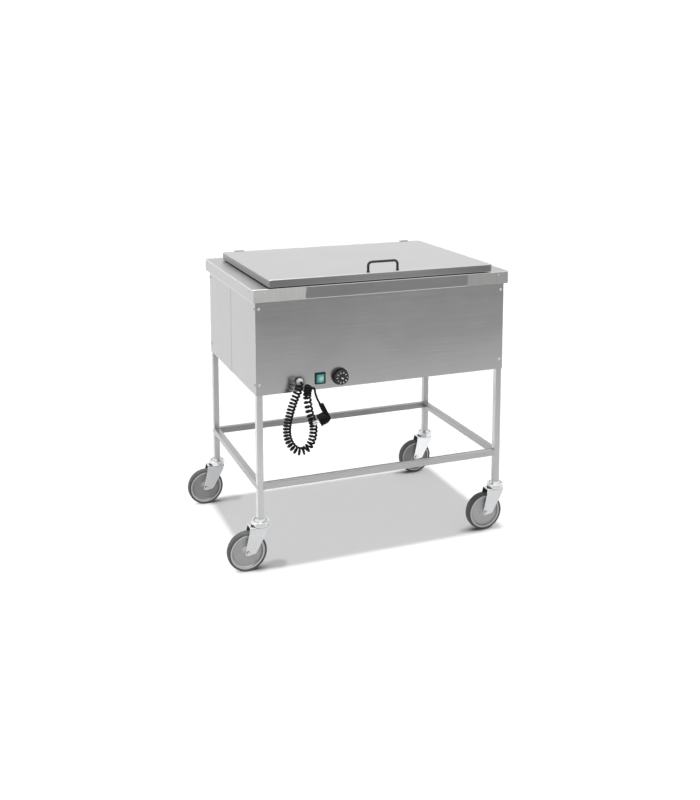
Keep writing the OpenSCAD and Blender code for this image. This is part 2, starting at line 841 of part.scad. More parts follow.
// Length along the axis, and the number of curls up to each of its points
axis_pts = smooth(coil_axis, 10);
axis_n = len(axis_pts);
axis_s = [for (i = 0, s = 0; i < axis_n;
    s = s + (i + 1 < axis_n ? norm(axis_pts[i + 1] - axis_pts[i]) : 0),
    i = i + 1) s];
axis_len = axis_s[axis_n - 1];
raw_turns = [for (i = 0, n = 0; i < axis_n;
    n = n + (i + 1 < axis_n ? (axis_s[i + 1] - axis_s[i])
        / lookup((axis_s[i] + axis_s[i + 1]) / 2 / axis_len, coil_pitch) : 0),
    i = i + 1) n];
curls = round(raw_turns[axis_n - 1]) + 0.25;
turn_k = curls / raw_turns[axis_n - 1];
tab = [for (c = [0:2]) [for (i = [0:axis_n - 1])
    [raw_turns[i] * turn_k, axis_pts[i][c]]]];
function on_axis(n) = [lookup(n, tab[0]), lookup(n, tab[1]),
    lookup(n, tab[2])];
function axis_dir(n) = unit(on_axis(min(n + 0.3, curls))
    - on_axis(max(n - 0.3, 0)));

cord_r = cord_d / 2;
curl_r = coil_d / 2 - cord_r;
per_curl = 8;
sides = 6;
// Outward direction of the curl at turn n, and its centre line
function out_dir(n) = let (t = axis_dir(n), u = unit(cross([0, 1, 0], t)),
    v = cross(t, u), a = 180 + 360 * n) cos(a) * u + sin(a) * v;
function curl_pt(n) = on_axis(n) + curl_r * out_dir(n);
coil_steps = round(curls * per_curl);
curl_line = [for (i = [0:coil_steps]) curl_pt(i * curls / coil_steps)];
curl_out = [for (i = [0:coil_steps]) out_dir(i * curls / coil_steps)];

// The lead starts at the gland's nose, straight out, then curls
last_dir = unit(curl_line[coil_steps] - curl_line[coil_steps - 1]);
coil_line = concat([gland_end, gland_end + [0, -cord_d, 0]], curl_line,
    [curl_line[coil_steps] + 1.2 * cord_d * last_dir]);
coil_out = concat([[1, 0, 0], [1, 0, 0]], curl_out,
    [curl_out[coil_steps]]);

// Ring i of a tube along the line p, with its first side towards w
function ring(p, w, i, r, k) = let (n = len(p),
    t = i == 0 ? unit(p[1] - p[0]) : i == n - 1 ? unit(p[i] - p[i - 1])
        : unit(p[i + 1] - p[i - 1]),
    a = unit(w[i] - (w[i] * t) * t), b = cross(t, a))
    [for (j = [0:k - 1]) p[i] + r * (cos(360 * j / k) * a
        + sin(360 * j / k) * b)];
module sweep(p, w, r, k) {
    n = len(p);
    rings = [for (i = [0:n - 1]) each ring(p, w, i, r, k)];
    ends = [p[0], p[n - 1]];
    polyhedron(points = concat(rings, ends), faces = concat(
        [for (i = [0:n - 2], j = [0:k - 1]) each
            [[i * k + j, (i + 1) * k + (j + 1) % k, i * k + (j + 1) % k],
             [i * k + j, (i + 1) * k + j, (i + 1) * k + (j + 1) % k]]],
        [for (j = [0:k - 1]) [n * k, j, (j + 1) % k]],
        [for (j = [0:k - 1]) [n * k + 1, (n - 1) * k + (j + 1) % k,
            (n - 1) * k + j]]));
}

// Least distance between stretches of the lead that lie half a curl apart
clear_n = len(coil_line);
least = min([for (i = [0:clear_n - 6]) min([for (j = [i + 5:clear_n - 1])
    norm(coil_line[i] - coil_line[j])])]) - cord_d;

module cord_coil() {
    echo(curls = curls, axis_length = axis_len, least_gap = least);
    color(black) at_origin() sweep(coil_line, coil_out, cord_r, sides);
}

// The lead's free end, from the last curl to the plug's neck
tail_start = coil_line[clear_n - 1];
tail_line = concat([tail_start], smooth(concat(
    [tail_start + 0.6 * cord_d * last_dir], tail_route,
    [plug_at - 1.2 * cord_d * plug_in]), 4), [plug_at]);
module cord_tail() {
    color(black) at_origin() sweep(tail_line, [for (p = tail_line) [0, 1, 0]],
        cord_r, 8);
}

// Angled plug: the lead enters an arm along its back, the pins point left
module plug_frame() {
    // local +Z runs from the neck into the body, local +X is the pins' way
    at_origin() translate(plug_at) rotate([0, 180 - plug_down, -plug_turn])
        children();
}
plug_d = 37.4;
plug_len = 36.5;
plug_face = 26;
plug_c = 46;
arm_back = plug_face - plug_len;
arm_t = 15;
arm_r = 3.5;
module plug() {
    pr = plug_d / 2;
    color(black) plug_frame() {
        // collar round the cord
        cylinder(h = arm_r, r1 = cord_r + 1, r2 = cord_r + 1.4);
        // arm, wider towards the body
        hull() for (x = [arm_back + arm_r, arm_back + arm_t - arm_r],
                e = [[1.5 + arm_r, 4], [plug_c, 11]], j = [-1, 1])
            translate([x, j * e[1], e[0]]) sphere(arm_r, $fn = 24);
        // body: a round face, a grip groove and a back that rounds in
        translate([plug_face, 0, plug_c]) rotate([0, -90, 0])
            rotate_extrude($fn = 64) polygon([[0, 0], [pr - 1, 0],
                [pr - 0.3, 0.3], [pr, 1], [pr, 6], [pr - 1.3, 6.8],
                [pr - 1.3, 8.6], [pr, 9.4], [pr, 19.5], [pr - 0.7, 23],
                [pr - 1.8, 26.4], [pr - 3.6, 30], [pr - 6, 33.6],
                [pr - 8.8, plug_len], [0, plug_len]]);
    }
}
module plug_pins() {
    color(zinc) plug_frame() translate([plug_face, 0, plug_c])
        rotate([0, 90, 0]) for (j = [-1, 1]) translate([0, j * 9.5, 0]) {
            cylinder(h = 16.6, d = 4.8, $fn = 24);
            translate([0, 0, 16.6]) sphere(d = 4.8, $fn = 24);
        }
}

// ---------- casters ----------

module caster_at(sx, sy) {
    at_origin() translate([sx * leg_x, sy * leg_y, 0]) children();
}

// Stem with the fixed upper race: a saucer whose rim is a rolled bead. The
// stem is riveted over under the fork's crown.
bead_r = 5.3;
race_t = 2;
bead_z = race_lip - 4.3;
ball_r = 2.4;
module caster_head() {
    rr = race_d / 2;
    br = rr - bead_r;
    color(zinc) translate([0, 0, caster_h]) {
        rotate_extrude() {
            polygon([[0, -3], [11.6, -3], [br - 5, -bead_z],
                [br - 3.6, -bead_z], [br - 3.9, -bead_z + 3], [12.6, 0],
                [0, 0]]);
            difference() {
                translate([br, -bead_z]) circle(bead_r);
                translate([br, -bead_z]) circle(bead_r - race_t);
                translate([br - bead_r - 1, -bead_z - bead_r - 1])
                    square([2 * bead_r + 2, bead_r + 1]);
            }
            translate([rr - race_t, -race_lip])
                square([race_t, race_lip - bead_z + 0.1]);
        }
        translate([0, 0, crown_z - caster_h - fork_t - 5])
            cylinder(h = 5 - gap, d = stem_d + 6);
        translate([0, 0, crown_z - caster_h - fork_t - 1])
            cylinder(h = insert_l - crown_z + caster_h + fork_t - 1,
                d = stem_d);
    }
}

// Side outline of the fork: from the crown down and back to the axle
fork_tip = 9.4;
function fork_side() = concat(
    smooth([[22, crown_z], [20.5, crown_z - 10], [16.5, crown_z - 21],
        [10, crown_z - 32]], 3),
    [[-15, axle_z + 3]],
    smooth([[-17.5, axle_z - 1.5], [-20, axle_z - 4.2],
        [-24, axle_z - 6]], 3),
    [for (a = [-80:-20:-200])
        [-trail + fork_tip * cos(a), axle_z + fork_tip * sin(a)]],
    [[-36, crown_z]]);

module fork() {
    br = race_d / 2 - bead_r;
    race_rise = caster_h - bead_z - crown_z;
    w = 2 * fork_out;
    bend = 7;
    color(zinc) difference() {
        union() {
            intersection() {
                rotate([90, 0, 90]) linear_extrude(400, center = true)
                    difference() {
                        channel(w, bend);
                        channel_in(w - 2 * fork_t, bend - fork_t);
                    }
                rotate([90, 0, 0]) linear_extrude(w + 2, center = true)
                    polygon(fork_side());
            }
            // crown plate with its hub and the lower race
            translate([0, 0, crown_z]) rotate_extrude() {
                translate([0, -fork_t]) square([br + ball_r, fork_t]);
                square([br - 7, 8.5]);
                translate([br - ball_r, -0.5])
                    square([2 * ball_r, race_rise + 0.5]);
                translate([br, race_rise]) circle(ball_r);
            }
        }
        translate([0, 0, crown_z - 10])
            cylinder(h = 40, r = stem_d / 2 + run);
        translate([-trail, 0, axle_z]) rotate([90, 0, 0])
            cylinder(h = w + 2, d = axle_d + 0.1, center = true);
    }
}
module channel(w, r) {
    translate([-w / 2, 0]) square([w, crown_z - r]);
    translate([-w / 2 + r, 0]) square([w - 2 * r, crown_z]);
    for (s = [-1, 1]) translate([s * (w / 2 - r), crown_z - r]) circle(r);
}
module channel_in(w, r) {
    translate([-w / 2, -1]) square([w, crown_z - fork_t - r + 1]);
    translate([-w / 2 + r, -1]) square([w - 2 * r, crown_z - fork_t + 1]);
    for (s = [-1, 1]) translate([s * (w / 2 - r), crown_z - fork_t - r])
        circle(r);
}

// Axle bolt with a hexagon head at the front and a nut at the rear
module axle() {
    color(zinc) translate([-trail, 0, axle_z]) rotate([90, 0, 0]) {
        cylinder(h = 2 * fork_out + 9.6, d = axle_d, center = true);
        for (s = [-1, 1]) {
            translate([0, 0, s * (fork_out + 2)])
                cylinder(h = 4, d = 1.75 * axle_d, center = true, $fn = 6);
        }
    }
}

// Wheel disc: hub, dished web and the rim that seats the tyre
module wheel() {
    ro = disc_d / 2;
    hw = fork_in - 0.5;
    rw = tyre_w / 2 - 2;
    face = [[axle_d / 2 + run, hw], [12, hw], [14, hw - 2], [20, 8], [30, 7],
        [ro - 10, 6], [ro - 8, 5], [ro - 6, rw - 1], [ro - 5, rw], [ro, rw]];
    back = [for (i = [len(face) - 1:-1:0]) [face[i][0], -face[i][1]]];
    color(grey) translate([-trail, 0, axle_z]) rotate([90, 0, 0])
        rotate_extrude($fn = 96) polygon(concat(face, back));
}

// Tyre: a band with a low crown and round shoulders
crown_r = 60;
shoulder_r = 3;
module tyre() {
    ri = disc_d / 2;
    ro = wheel_d / 2;
    h = tyre_w / 2;
    in_y = h - shoulder_r;
    in_r = crown_r - shoulder_r;
    // the shoulder's centre, and where its arc meets the crown's
    shoulder_x = ro - crown_r + sqrt(in_r * in_r - in_y * in_y);
    meet_y = in_y * crown_r / in_r;
    color([0.3, 0.3, 0.31]) translate([-trail, 0, axle_z])
        rotate([90, 0, 0]) rotate_extrude($fn = 96) {
            translate([ri, -h]) square([shoulder_x - ri, tyre_w]);
            for (s = [-1, 1])
                translate([shoulder_x, s * in_y]) circle(shoulder_r);
            intersection() {
                translate([ri, -meet_y]) square([ro - ri, 2 * meet_y]);
                translate([ro - crown_r, 0]) circle(crown_r, $fn = 180);
            }
        }
}

module caster_head_fl() { caster_at(-1, -1) caster_head(); }
module fork_fl() { caster_at(-1, -1) fork(); }
module axle_fl() { caster_at(-1, -1) axle(); }
module wheel_fl() { caster_at(-1, -1) wheel(); }
module tyre_fl() { caster_at(-1, -1) tyre(); }
module caster_head_fr() { caster_at(1, -1) caster_head(); }
module fork_fr() { caster_at(1, -1) fork(); }
module axle_fr() { caster_at(1, -1) axle(); }
module wheel_fr() { caster_at(1, -1) wheel(); }
module tyre_fr() { caster_at(1, -1) tyre(); }
module caster_head_rl() { caster_at(-1, 1) caster_head(); }
module fork_rl() { caster_at(-1, 1) fork(); }
module axle_rl() { caster_at(-1, 1) axle(); }
module wheel_rl() { caster_at(-1, 1) wheel(); }
module tyre_rl() { caster_at(-1, 1) tyre(); }
module caster_head_rr() { caster_at(1, 1) caster_head(); }
module fork_rr() { caster_at(1, 1) fork(); }
module axle_rr() { caster_at(1, 1) axle(); }
module wheel_rr() { caster_at(1, 1) wheel(); }
module tyre_rr() { caster_at(1, 1) tyre(); }

leg_front_left();
leg_front_right();
leg_rear_left();
leg_rear_right();
leg_inserts();
stretcher_front();
stretcher_rear();
stretcher_left();
stretcher_right();
stretcher_bolts();
top_frame();
front_panel();
rear_panel();
left_panel_front();
left_panel_rear();
right_panel_front();
right_panel_rear();
bottom_panel();
panel_screws();
well_tank();
heating_element();
thermostat_body();
switch_bezel();
cable_gland();
gland_locknut();
hinge_brackets();
hinge_pins();
cord_coil();
cord_tail();
plug();
plug_pins();
lid();
lid_handle();
handle_screws();
hinge_leaves();
lid_buffers();
switch_rocker();
control_knob();
thermostat_spindle();
caster_head_fl();
fork_fl();
axle_fl();
wheel_fl();
tyre_fl();
caster_head_fr();
fork_fr();
axle_fr();
wheel_fr();
tyre_fr();
caster_head_rl();
fork_rl();
axle_rl();
wheel_rl();
tyre_rl();
caster_head_rr();
fork_rr();
axle_rr();
wheel_rr();
tyre_rr();
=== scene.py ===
"""Looks of the hostess trolley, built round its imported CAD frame.

Metres, Z up, in the frame's own axes: the controls face -Y and the floor is
Z = 0. Each operator dresses one group of like pieces, and main() runs them all.
"""

import math

import bmesh
import bpy
import numpy as np
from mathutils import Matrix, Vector


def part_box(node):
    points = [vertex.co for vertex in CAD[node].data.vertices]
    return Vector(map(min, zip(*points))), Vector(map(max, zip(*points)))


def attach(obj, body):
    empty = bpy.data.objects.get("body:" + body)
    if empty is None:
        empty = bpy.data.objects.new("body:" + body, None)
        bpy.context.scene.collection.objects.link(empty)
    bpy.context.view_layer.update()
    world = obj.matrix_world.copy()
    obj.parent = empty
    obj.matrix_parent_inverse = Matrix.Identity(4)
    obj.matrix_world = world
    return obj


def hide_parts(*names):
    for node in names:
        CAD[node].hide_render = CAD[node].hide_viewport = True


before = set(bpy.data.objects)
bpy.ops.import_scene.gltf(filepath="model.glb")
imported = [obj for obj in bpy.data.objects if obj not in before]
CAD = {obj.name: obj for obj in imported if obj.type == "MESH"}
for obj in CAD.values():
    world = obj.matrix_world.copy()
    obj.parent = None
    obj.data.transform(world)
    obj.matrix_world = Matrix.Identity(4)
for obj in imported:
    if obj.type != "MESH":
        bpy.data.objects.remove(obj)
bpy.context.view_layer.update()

bl_info = {
    "name": "Hostess trolley looks",
    "version": (1, 0, 0),
    "blender": (4, 5, 0),
    "location": "View3D > Sidebar > Trolley",
    "description": "Materials, mains lead, wheels and studio for the trolley",
    "category": "Object",
}

MM = 0.001
X, Y, Z = range(3)
CORNERS = ("fl", "fr", "rl", "rr")
# painted light and shade: how bright each wheel disc is painted, the rear ones
# darkest where the body shades them
DISC_PAINTED_SHADE = {"fl": 0.93, "fr": 1.03, "rl": 0.66, "rr": 0.68}
# first input, second input and result of a Mix node, by what it mixes
MIX_SOCKETS = {"FLOAT": (2, 3, 0), "RGBA": (6, 7, 2)}


# ---------------------------------------------------------------- settings


def colour_setting(name, description, default):
    """A colour that the user can change."""
    return bpy.props.FloatVectorProperty(
        name=name, description=description, subtype="COLOR", size=3,
        min=0, max=1, default=default)


def length_setting(name, description, default, least, most):
    """A length that the user can change."""
    return bpy.props.FloatProperty(
        name=name, description=description, unit="LENGTH", default=default,
        min=least, max=most)


def level_setting(name, description, default, most=1):
    """A plain number from 0 up that the user can change."""
    return bpy.props.FloatProperty(
        name=name, description=description, default=default, min=0, max=most)


class SteelSettings(bpy.types.PropertyGroup):
    """Finishes of the sheet steel, the tube and the zinc."""

    sheet: colour_setting(
        "Sheet steel", "Colour of the brushed sheets", (0.63, 0.632, 0.63))
    tube: colour_setting(
        "Tube", "Colour of the legs and stretchers", (0.6, 0.602, 0.6))
    zinc: colour_setting(
        "Zinc", "Colour of the plated caster parts", (0.82, 0.83, 0.84))
    grain: level_setting("Grain", "Strength of the brush marks", 0.16)
    patch_left: length_setting(
        "Left patch", "Length of the ground patch at the rim's left end",
        0.169, 0, 0.4)
    patch_right: length_setting(
        "Right patch", "Length of the ground patch at the rim's right end",
        0.153, 0, 0.4)


class LeadSettings(bpy.types.PropertyGroup):
    """Sizes and colour of the curly mains lead."""

    cord: length_setting("Cord", "Diameter of the cord", 0.0065, 0.005, 0.008)
    coil: length_setting(
        "Coil", "Outside diameter of the curls", 0.0264, 0.02, 0.03)
    colour: colour_setting(
        "Colour", "Colour of the cord's sheath", (0.004, 0.004, 0.0045))


class ControlSettings(bpy.types.PropertyGroup):
    """Knob, switch and gland."""

    lens: colour_setting(
        "Lens", "Colour of the translucent rocker", (0.062, 0.37, 0.33))
    print_colour: colour_setting(
        "Print", "Colour of the dial's numbers", (0.7, 0.7, 0.69))
    digit: length_setting(
        "Digit", "Height of the dial's numbers", 0.0074, 0.003, 0.012)


class CasterSettings(bpy.types.PropertyGroup):
    """Tyres and wheel discs."""

    tyre: colour_setting("Tyre", "Colour of the tyres", (0.068, 0.068, 0.07))
    disc: colour_setting(
        "Disc", "Colour of the wheel discs", (0.4, 0.4, 0.405))
    ribs: bpy.props.IntProperty(
        name="Ribs", description="Number of tread ribs round a tyre",
        default=72, min=24, max=120)
    groove: length_setting(
        "Groove", "Depth of the tread's grooves", 0.0007, 0, 0.002)


class StudioSettings(bpy.types.PropertyGroup):
    """Floor, lamps and camera."""

    floor: colour_setting("Floor", "Colour of the floor", (0.5, 0.5, 0.5))
    lift: level_setting(
        "Floor lift", "Plain white added to the seen floor", 0.06)
    sun: level_setting(
        "Top light", "Strength of the light from above", 3.0, 10)
    streak: level_setting(
        "Side lights", "Strength of the floor's side lights", 1.0, 10)
    front_low: level_setting(
        "Far floor", "Brightness of the far floor in steel", 0.3)
    front_high: level_setting(
        "Near floor", "Brightness of the near floor in steel", 0.78)
    yaw: bpy.props.FloatProperty(
        name="Camera turn", description="Camera's turn to the right",
        subtype="ANGLE", default=math.radians(21.40))
    pitch: bpy.props.FloatProperty(
        name="Camera tilt", description="Camera's tilt below the horizon",
        subtype="ANGLE", default=math.radians(7.47))
    lens_px: bpy.props.FloatProperty(
        name="Focal length", description="Focal length in picture dots",
        default=1008.1)
    shift_px: bpy.props.FloatProperty(
        name="Shift", description="Vertical shift of the lens in picture dots",
        default=-180.0)


# ------------------------------------------------------------ mesh helpers


def unit(v):
    """Each row divided by its length."""
    return v / np.linalg.norm(v, axis=-1, keepdims=True)


def grid_quads(rows, cols, close_rows=False):
    """Quads of a grid of rows x cols points, whose columns close.

    The rows may close too.
    """
    i = np.arange(rows if close_rows else rows - 1)[:, None]
    j = np.arange(cols)[None]
    i2, j2 = (i + 1) % rows, (j + 1) % cols
    return np.stack([i * cols + j, i * cols + j2, i2 * cols + j2,
                     i2 * cols + j], -1).reshape(-1, 4)


def make_piece(name, points, faces, body, material, sharp):
    """A mesh of these points and faces that rides on a body.

    Its normals are set to point outwards, and edges sharper than the given
    angle, in degrees, stay crisp.
    """
    mesh = bpy.data.meshes.new(name)
    mesh.from_pydata(np.asarray(points, float).reshape(-1, 3).tolist(), [],
                     [list(f) for f in faces])
    bm = bmesh.new()
    bm.from_mesh(mesh)
    bmesh.ops.recalc_face_normals(bm, faces=bm.faces)
    bm.to_mesh(mesh)
    bm.free()
    mesh.polygons.foreach_set("use_smooth", [True] * len(mesh.polygons))
    mesh.set_sharp_from_angle(angle=math.radians(sharp))
    piece = bpy.data.objects.new(name, mesh)
    bpy.context.scene.collection.objects.link(piece)
    mesh.materials.append(material)
    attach(piece, body)
    return piece


def sweep(line, side, radius, sides):
    """Points and faces of a round tube along a line.

    Point (i, k) = line_i + radius (cos t_k a_i + sin t_k b_i), where a_i
    is the given side direction squared up to the line and b_i is across
    both. Both ends close in a fan.
    """
    way = unit(np.gradient(line, axis=0))
    a = unit(side - (side * way).sum(1, keepdims=True) * way)
    b = np.cross(way, a)
    t = np.linspace(0, 2 * np.pi, sides, endpoint=False)[None, :, None]
    rings = line[:, None] + radius * (np.cos(t) * a[:, None]
                                      + np.sin(t) * b[:, None])
    points = np.concatenate([rings.reshape(-1, 3), line[[0, -1]]])
    start, end = len(line) * sides, len(line) * sides + 1
    last = (len(line) - 1) * sides
    k = np.arange(sides)
    k2 = (k + 1) % sides
    faces = grid_quads(len(line), sides).tolist()
    faces += np.stack([np.full(sides, start), k2, k], 1).tolist()
    faces += np.stack([np.full(sides, end), last + k, last + k2], 1).tolist()
    return points, faces


def turned(profile, centre, axis, steps, wobble):
    """Points and faces of a profile turned about an axis.

    The profile is closed, as rows (radius, along). Point (i, k) = centre +
    along_k axis + (radius_k + wobble(angle_i, k)) (cos angle_i p + sin
    angle_i q), with p and q square to the axis.
    """
    axis = np.asarray(axis, float)
    # any direction that isn't along the axis
    aslant = (0.31, 0.17, 0.93)
    p = unit(np.cross(axis, aslant))
    q = np.cross(axis, p)
    angle = np.linspace(0, 2 * np.pi, steps, endpoint=False)[:, None]
    radius = profile[None, :, 0] + wobble(angle, profile)
    points = (np.asarray(centre, float) + profile[None, :, 1:2] * axis
              + radius[..., None] * (np.cos(angle)[..., None] * p
                                     + np.sin(angle)[..., None] * q))
    return points.reshape(-1, 3), grid_quads(steps, len(profile), True)


# -------------------------------------------------------- material helpers


def node_group(name, inputs, outputs):
    """A new shader group with these sockets: (name, type, default)."""
    tree = bpy.data.node_groups.new(name, "ShaderNodeTree")
    for label, kind, value in inputs:
        socket = tree.interface.new_socket(
            label, in_out="INPUT", socket_type=kind)
        if value is not None:
            socket.default_value = value
    for label, kind in outputs:
        tree.interface.new_socket(label, in_out="OUTPUT", socket_type=kind)
    return tree, tree.nodes.new("NodeGroupInput"), tree.nodes.new(
        "NodeGroupOutput")


def add(tree, kind, **settings):
    """A node of this kind, with its settings and its inputs.

    An input is known by its name or number. It is linked where the value
    is another node's socket, and set otherwise.
    """
    node = tree.nodes.new(kind)
    inputs = settings.pop("inputs", {})
    for key, value in settings.items():
        setattr(node, key, value)
    for key, value in inputs.items():
        if isinstance(value, bpy.types.NodeSocket):
            tree.links.new(value, node.inputs[key])
        else:
            node.inputs[key].default_value = value
    return node


def maths(tree, operation, a, b=0.5, clamp=False):
    """One arithmetic node on two numbers or sockets.

    The second is a half unless it is given, which is a noise's middle.
    """
    return add(tree, "ShaderNodeMath", operation=operation, use_clamp=clamp,
               inputs={0: a, 1: b}).outputs[0]


def band(tree, value, low, high, out_low=0.0, out_high=1.0):
    """Smooth step of a value from one level to another."""
    return add(tree, "ShaderNodeMapRange", interpolation_type="SMOOTHSTEP",
               inputs={"Value": value, "From Min": low, "From Max": high,
                       "To Min": out_low, "To Max": out_high}
               ).outputs["Result"]


def tint(tree, colour, factor):
    """A colour times a number."""
    return add(tree, "ShaderNodeVectorMath", operation="SCALE",
               inputs={0: colour, "Scale": factor}).outputs[0]


def blend(tree, factor, a, b, kind="RGBA"):
    """Mix of two colours, or of two numbers where the kind is FLOAT."""
    first, second, result = MIX_SOCKETS[kind]
    return add(tree, "ShaderNodeMix", data_type=kind,
               inputs={0: factor, first: a, second: b}).outputs[result]


def noise(tree, place, scale, **inputs):
    """Soft noise on a place, with scale blobs to each unit of the place."""
    return add(tree, "ShaderNodeTexNoise", inputs={
        "Vector": place, "Scale": scale, **inputs}).outputs["Fac"]


def coordinate(tree, place, axis):
    """How far along one axis the place lies."""
    return add(tree, "ShaderNodeSeparateXYZ",
               inputs={0: place}).outputs[axis]


def brushed_group():
    """Fine scratches stretched one way, broken by soft cloudy patches.

    Grain comes from noise on the stretched place and clouds from noise on
    the true place. Both lighten or darken the colour and the roughness.
    """
    tree, start, end = node_group(
        "Brushed grain",
        [("Stretched", "NodeSocketVector", None),
         ("Place", "NodeSocketVector", None),
         ("Colour", "NodeSocketColor", None),
         ("Roughness", "NodeSocketFloat", 0.3),
         ("Grain", "NodeSocketFloat", 0.2),
         ("Clouds", "NodeSocketFloat", 0.1)],
        [("Colour", "NodeSocketColor"), ("Roughness", "NodeSocketFloat"),
         ("Height", "NodeSocketFloat")])
    fine = noise(tree, start.outputs["Stretched"], 1.0, Detail=3.0,
                 Roughness=0.7)
    cloud = noise(tree, start.outputs["Place"], 5.5, Detail=2.0,
                  Distortion=0.4)
    by_fine = maths(tree, "MULTIPLY", maths(tree, "SUBTRACT", fine),
                    start.outputs["Grain"])
    by_cloud = maths(tree, "MULTIPLY", maths(tree, "SUBTRACT", cloud),
                     start.outputs["Clouds"])
    both = maths(tree, "ADD", by_fine, by_cloud)
    tree.links.new(tint(tree, start.outputs["Colour"],
                        maths(tree, "ADD", both, 1.0)),
                   end.inputs["Colour"])
    tree.links.new(maths(tree, "ADD", start.outputs["Roughness"],
                         maths(tree, "MULTIPLY", both, 0.6), clamp=True),
                   end.inputs["Roughness"])
    tree.links.new(fine, end.inputs["Height"])


def moulded_group():
    """Fine pebbled skin of moulded plastic and rubber, with light dust.

    A cell pattern gives the skin's height, and a coarser noise lays dust
    that greys the colour and dulls the shine.
    """
    tree, start, end = node_group(
        "Moulded skin",
        [("Place", "NodeSocketVector", None),
         ("Colour", "NodeSocketColor", None),
         ("Roughness", "NodeSocketFloat", 0.4),
         ("Pebble size", "NodeSocketFloat", 900.0),
         ("Dust", "NodeSocketFloat", 0.1)],
        [("Colour", "NodeSocketColor"), ("Roughness", "NodeSocketFloat"),
         ("Height", "NodeSocketFloat")])
    cells = add(tree, "ShaderNodeTexVoronoi", feature="SMOOTH_F1", inputs={
        "Vector": start.outputs["Place"],
        "Scale": start.outputs["Pebble size"]}).outputs["Distance"]
    lay = noise(tree, start.outputs["Place"], 38.0, Detail=3.0)
    dust = maths(tree, "MULTIPLY", band(tree, lay, 0.42, 0.78),
                 start.outputs["Dust"])
    tree.links.new(blend(tree, dust, start.outputs["Colour"],
                         (0.45, 0.44, 0.42, 1)), end.inputs["Colour"])
    tree.links.new(maths(tree, "ADD", start.outputs["Roughness"],
                         maths(tree, "MULTIPLY", dust, 0.5), clamp=True),
                   end.inputs["Roughness"])
    tree.links.new(cells, end.inputs["Height"])


def grained(tree, place, stretch, colour, rough, grain, clouds):
    """The brushed grain group, with the place stretched along the grain.

    The colour is a socket or four numbers.
    """
    long = add(tree, "ShaderNodeMapping",
               inputs={"Vector": place, "Scale": stretch}).outputs[0]
    return add(tree, "ShaderNodeGroup",
               node_tree=bpy.data.node_groups["Brushed grain"],
               inputs={"Stretched": long, "Place": place, "Colour": colour,
                       "Roughness": rough, "Grain": grain, "Clouds": clouds})


def skinned(tree, place, colour, rough, pebble, dust):
    """The moulded skin group; pebble is how many cells a metre holds."""
    return add(tree, "ShaderNodeGroup",
               node_tree=bpy.data.node_groups["Moulded skin"],
               inputs={"Place": place, "Colour": (*colour, 1),
                       "Roughness": rough, "Pebble size": pebble,
                       "Dust": dust})


def material_base(name, **plain):
    """A material with its Principled shader and the object's own place.

    Plain numbers go straight onto the shader's sockets.
    """
    material = bpy.data.materials.new(name)
    material.use_nodes = True
    tree = material.node_tree
    shader = tree.nodes["Principled BSDF"]
    for key, value in plain.items():
        shader.inputs[key.replace("_", " ")].default_value = value
    place = add(tree, "ShaderNodeTexCoord").outputs["Object"]
    return material, tree, shader, place


def wire(tree, shader, colour, rough, height, strength, depth):
    """Link a colour, a roughness and a bump, whose depth is in millimetres."""
    bump = add(tree, "ShaderNodeBump", inputs={
        "Height": height, "Strength": strength, "Distance": depth * MM})
    for socket, value in (("Base Color", colour), ("Roughness", rough),
                          ("Normal", bump.outputs[0])):
        tree.links.new(value, shader.inputs[socket])


def by_distance(axis, middle, low, high, out_low, out_high):
    """A shade that changes with the distance from a plane across an axis."""
    def shade(tree, place):
        gap = maths(tree, "ABSOLUTE", maths(
            tree, "SUBTRACT", coordinate(tree, place, axis), middle))
        return band(tree, gap, low, high, out_low, out_high)
    return shade


def in_corners(distance, least):
    """A painted shade that darkens the colour where other surfaces lie within a
    distance.
    """
    def shade(tree, place):
        free = add(tree, "ShaderNodeAmbientOcclusion", samples=8,
                   inputs={"Distance": distance}).outputs["AO"]
        return band(tree, free, 0.2, 0.95, least, 1.0)
    return shade


def lengthwise(axis, fine, long):
    """How fast marks change along X, Y and Z where they run along an axis."""
    rates = [fine] * 3
    rates[axis] = long
    return tuple(rates)


def scaled(colour, part):
    """A colour times a number, channel by channel."""
    return tuple(part * channel for channel in colour)


def brushed(name, colour, rough, stretch, grain, clouds, height=0.02,
            shade=None):
    """Brushed metal.

    Stretch is how fast the grain changes along X, Y and Z, and height how
    deep it is in millimetres. A shade is a function of the tree and the
    place, and its number multiplies the colour.
    """
    material, tree, shader, place = material_base(name, Metallic=1.0)
    marks = grained(tree, place, stretch, (*colour, 1), rough, grain, clouds)
    shown = marks.outputs["Colour"]
    if shade:
        shown = tint(tree, shown, shade(tree, place))
    wire(tree, shader, shown, marks.outputs["Roughness"],
         marks.outputs["Height"], strength=0.35, depth=height)
    return material


def moulded(name, colour, rough, pebble, dust, height=0.03, **plain):
    """Moulded plastic or rubber, its skin so many millimetres deep."""
    material, tree, shader, place = material_base(name, **plain)
    skin = skinned(tree, place, colour, rough, pebble, dust)
    wire(tree, shader, skin.outputs["Colour"], skin.outputs["Roughness"],
         skin.outputs["Height"], strength=0.5, depth=height)
    return material


def finish_nodes(material, *names):
    """Give CAD nodes this material as their only one."""
    for name in names:
        slots = CAD[name].data.materials
        slots.clear()
        slots.append(material)


# --------------------------------------------------------------- operators


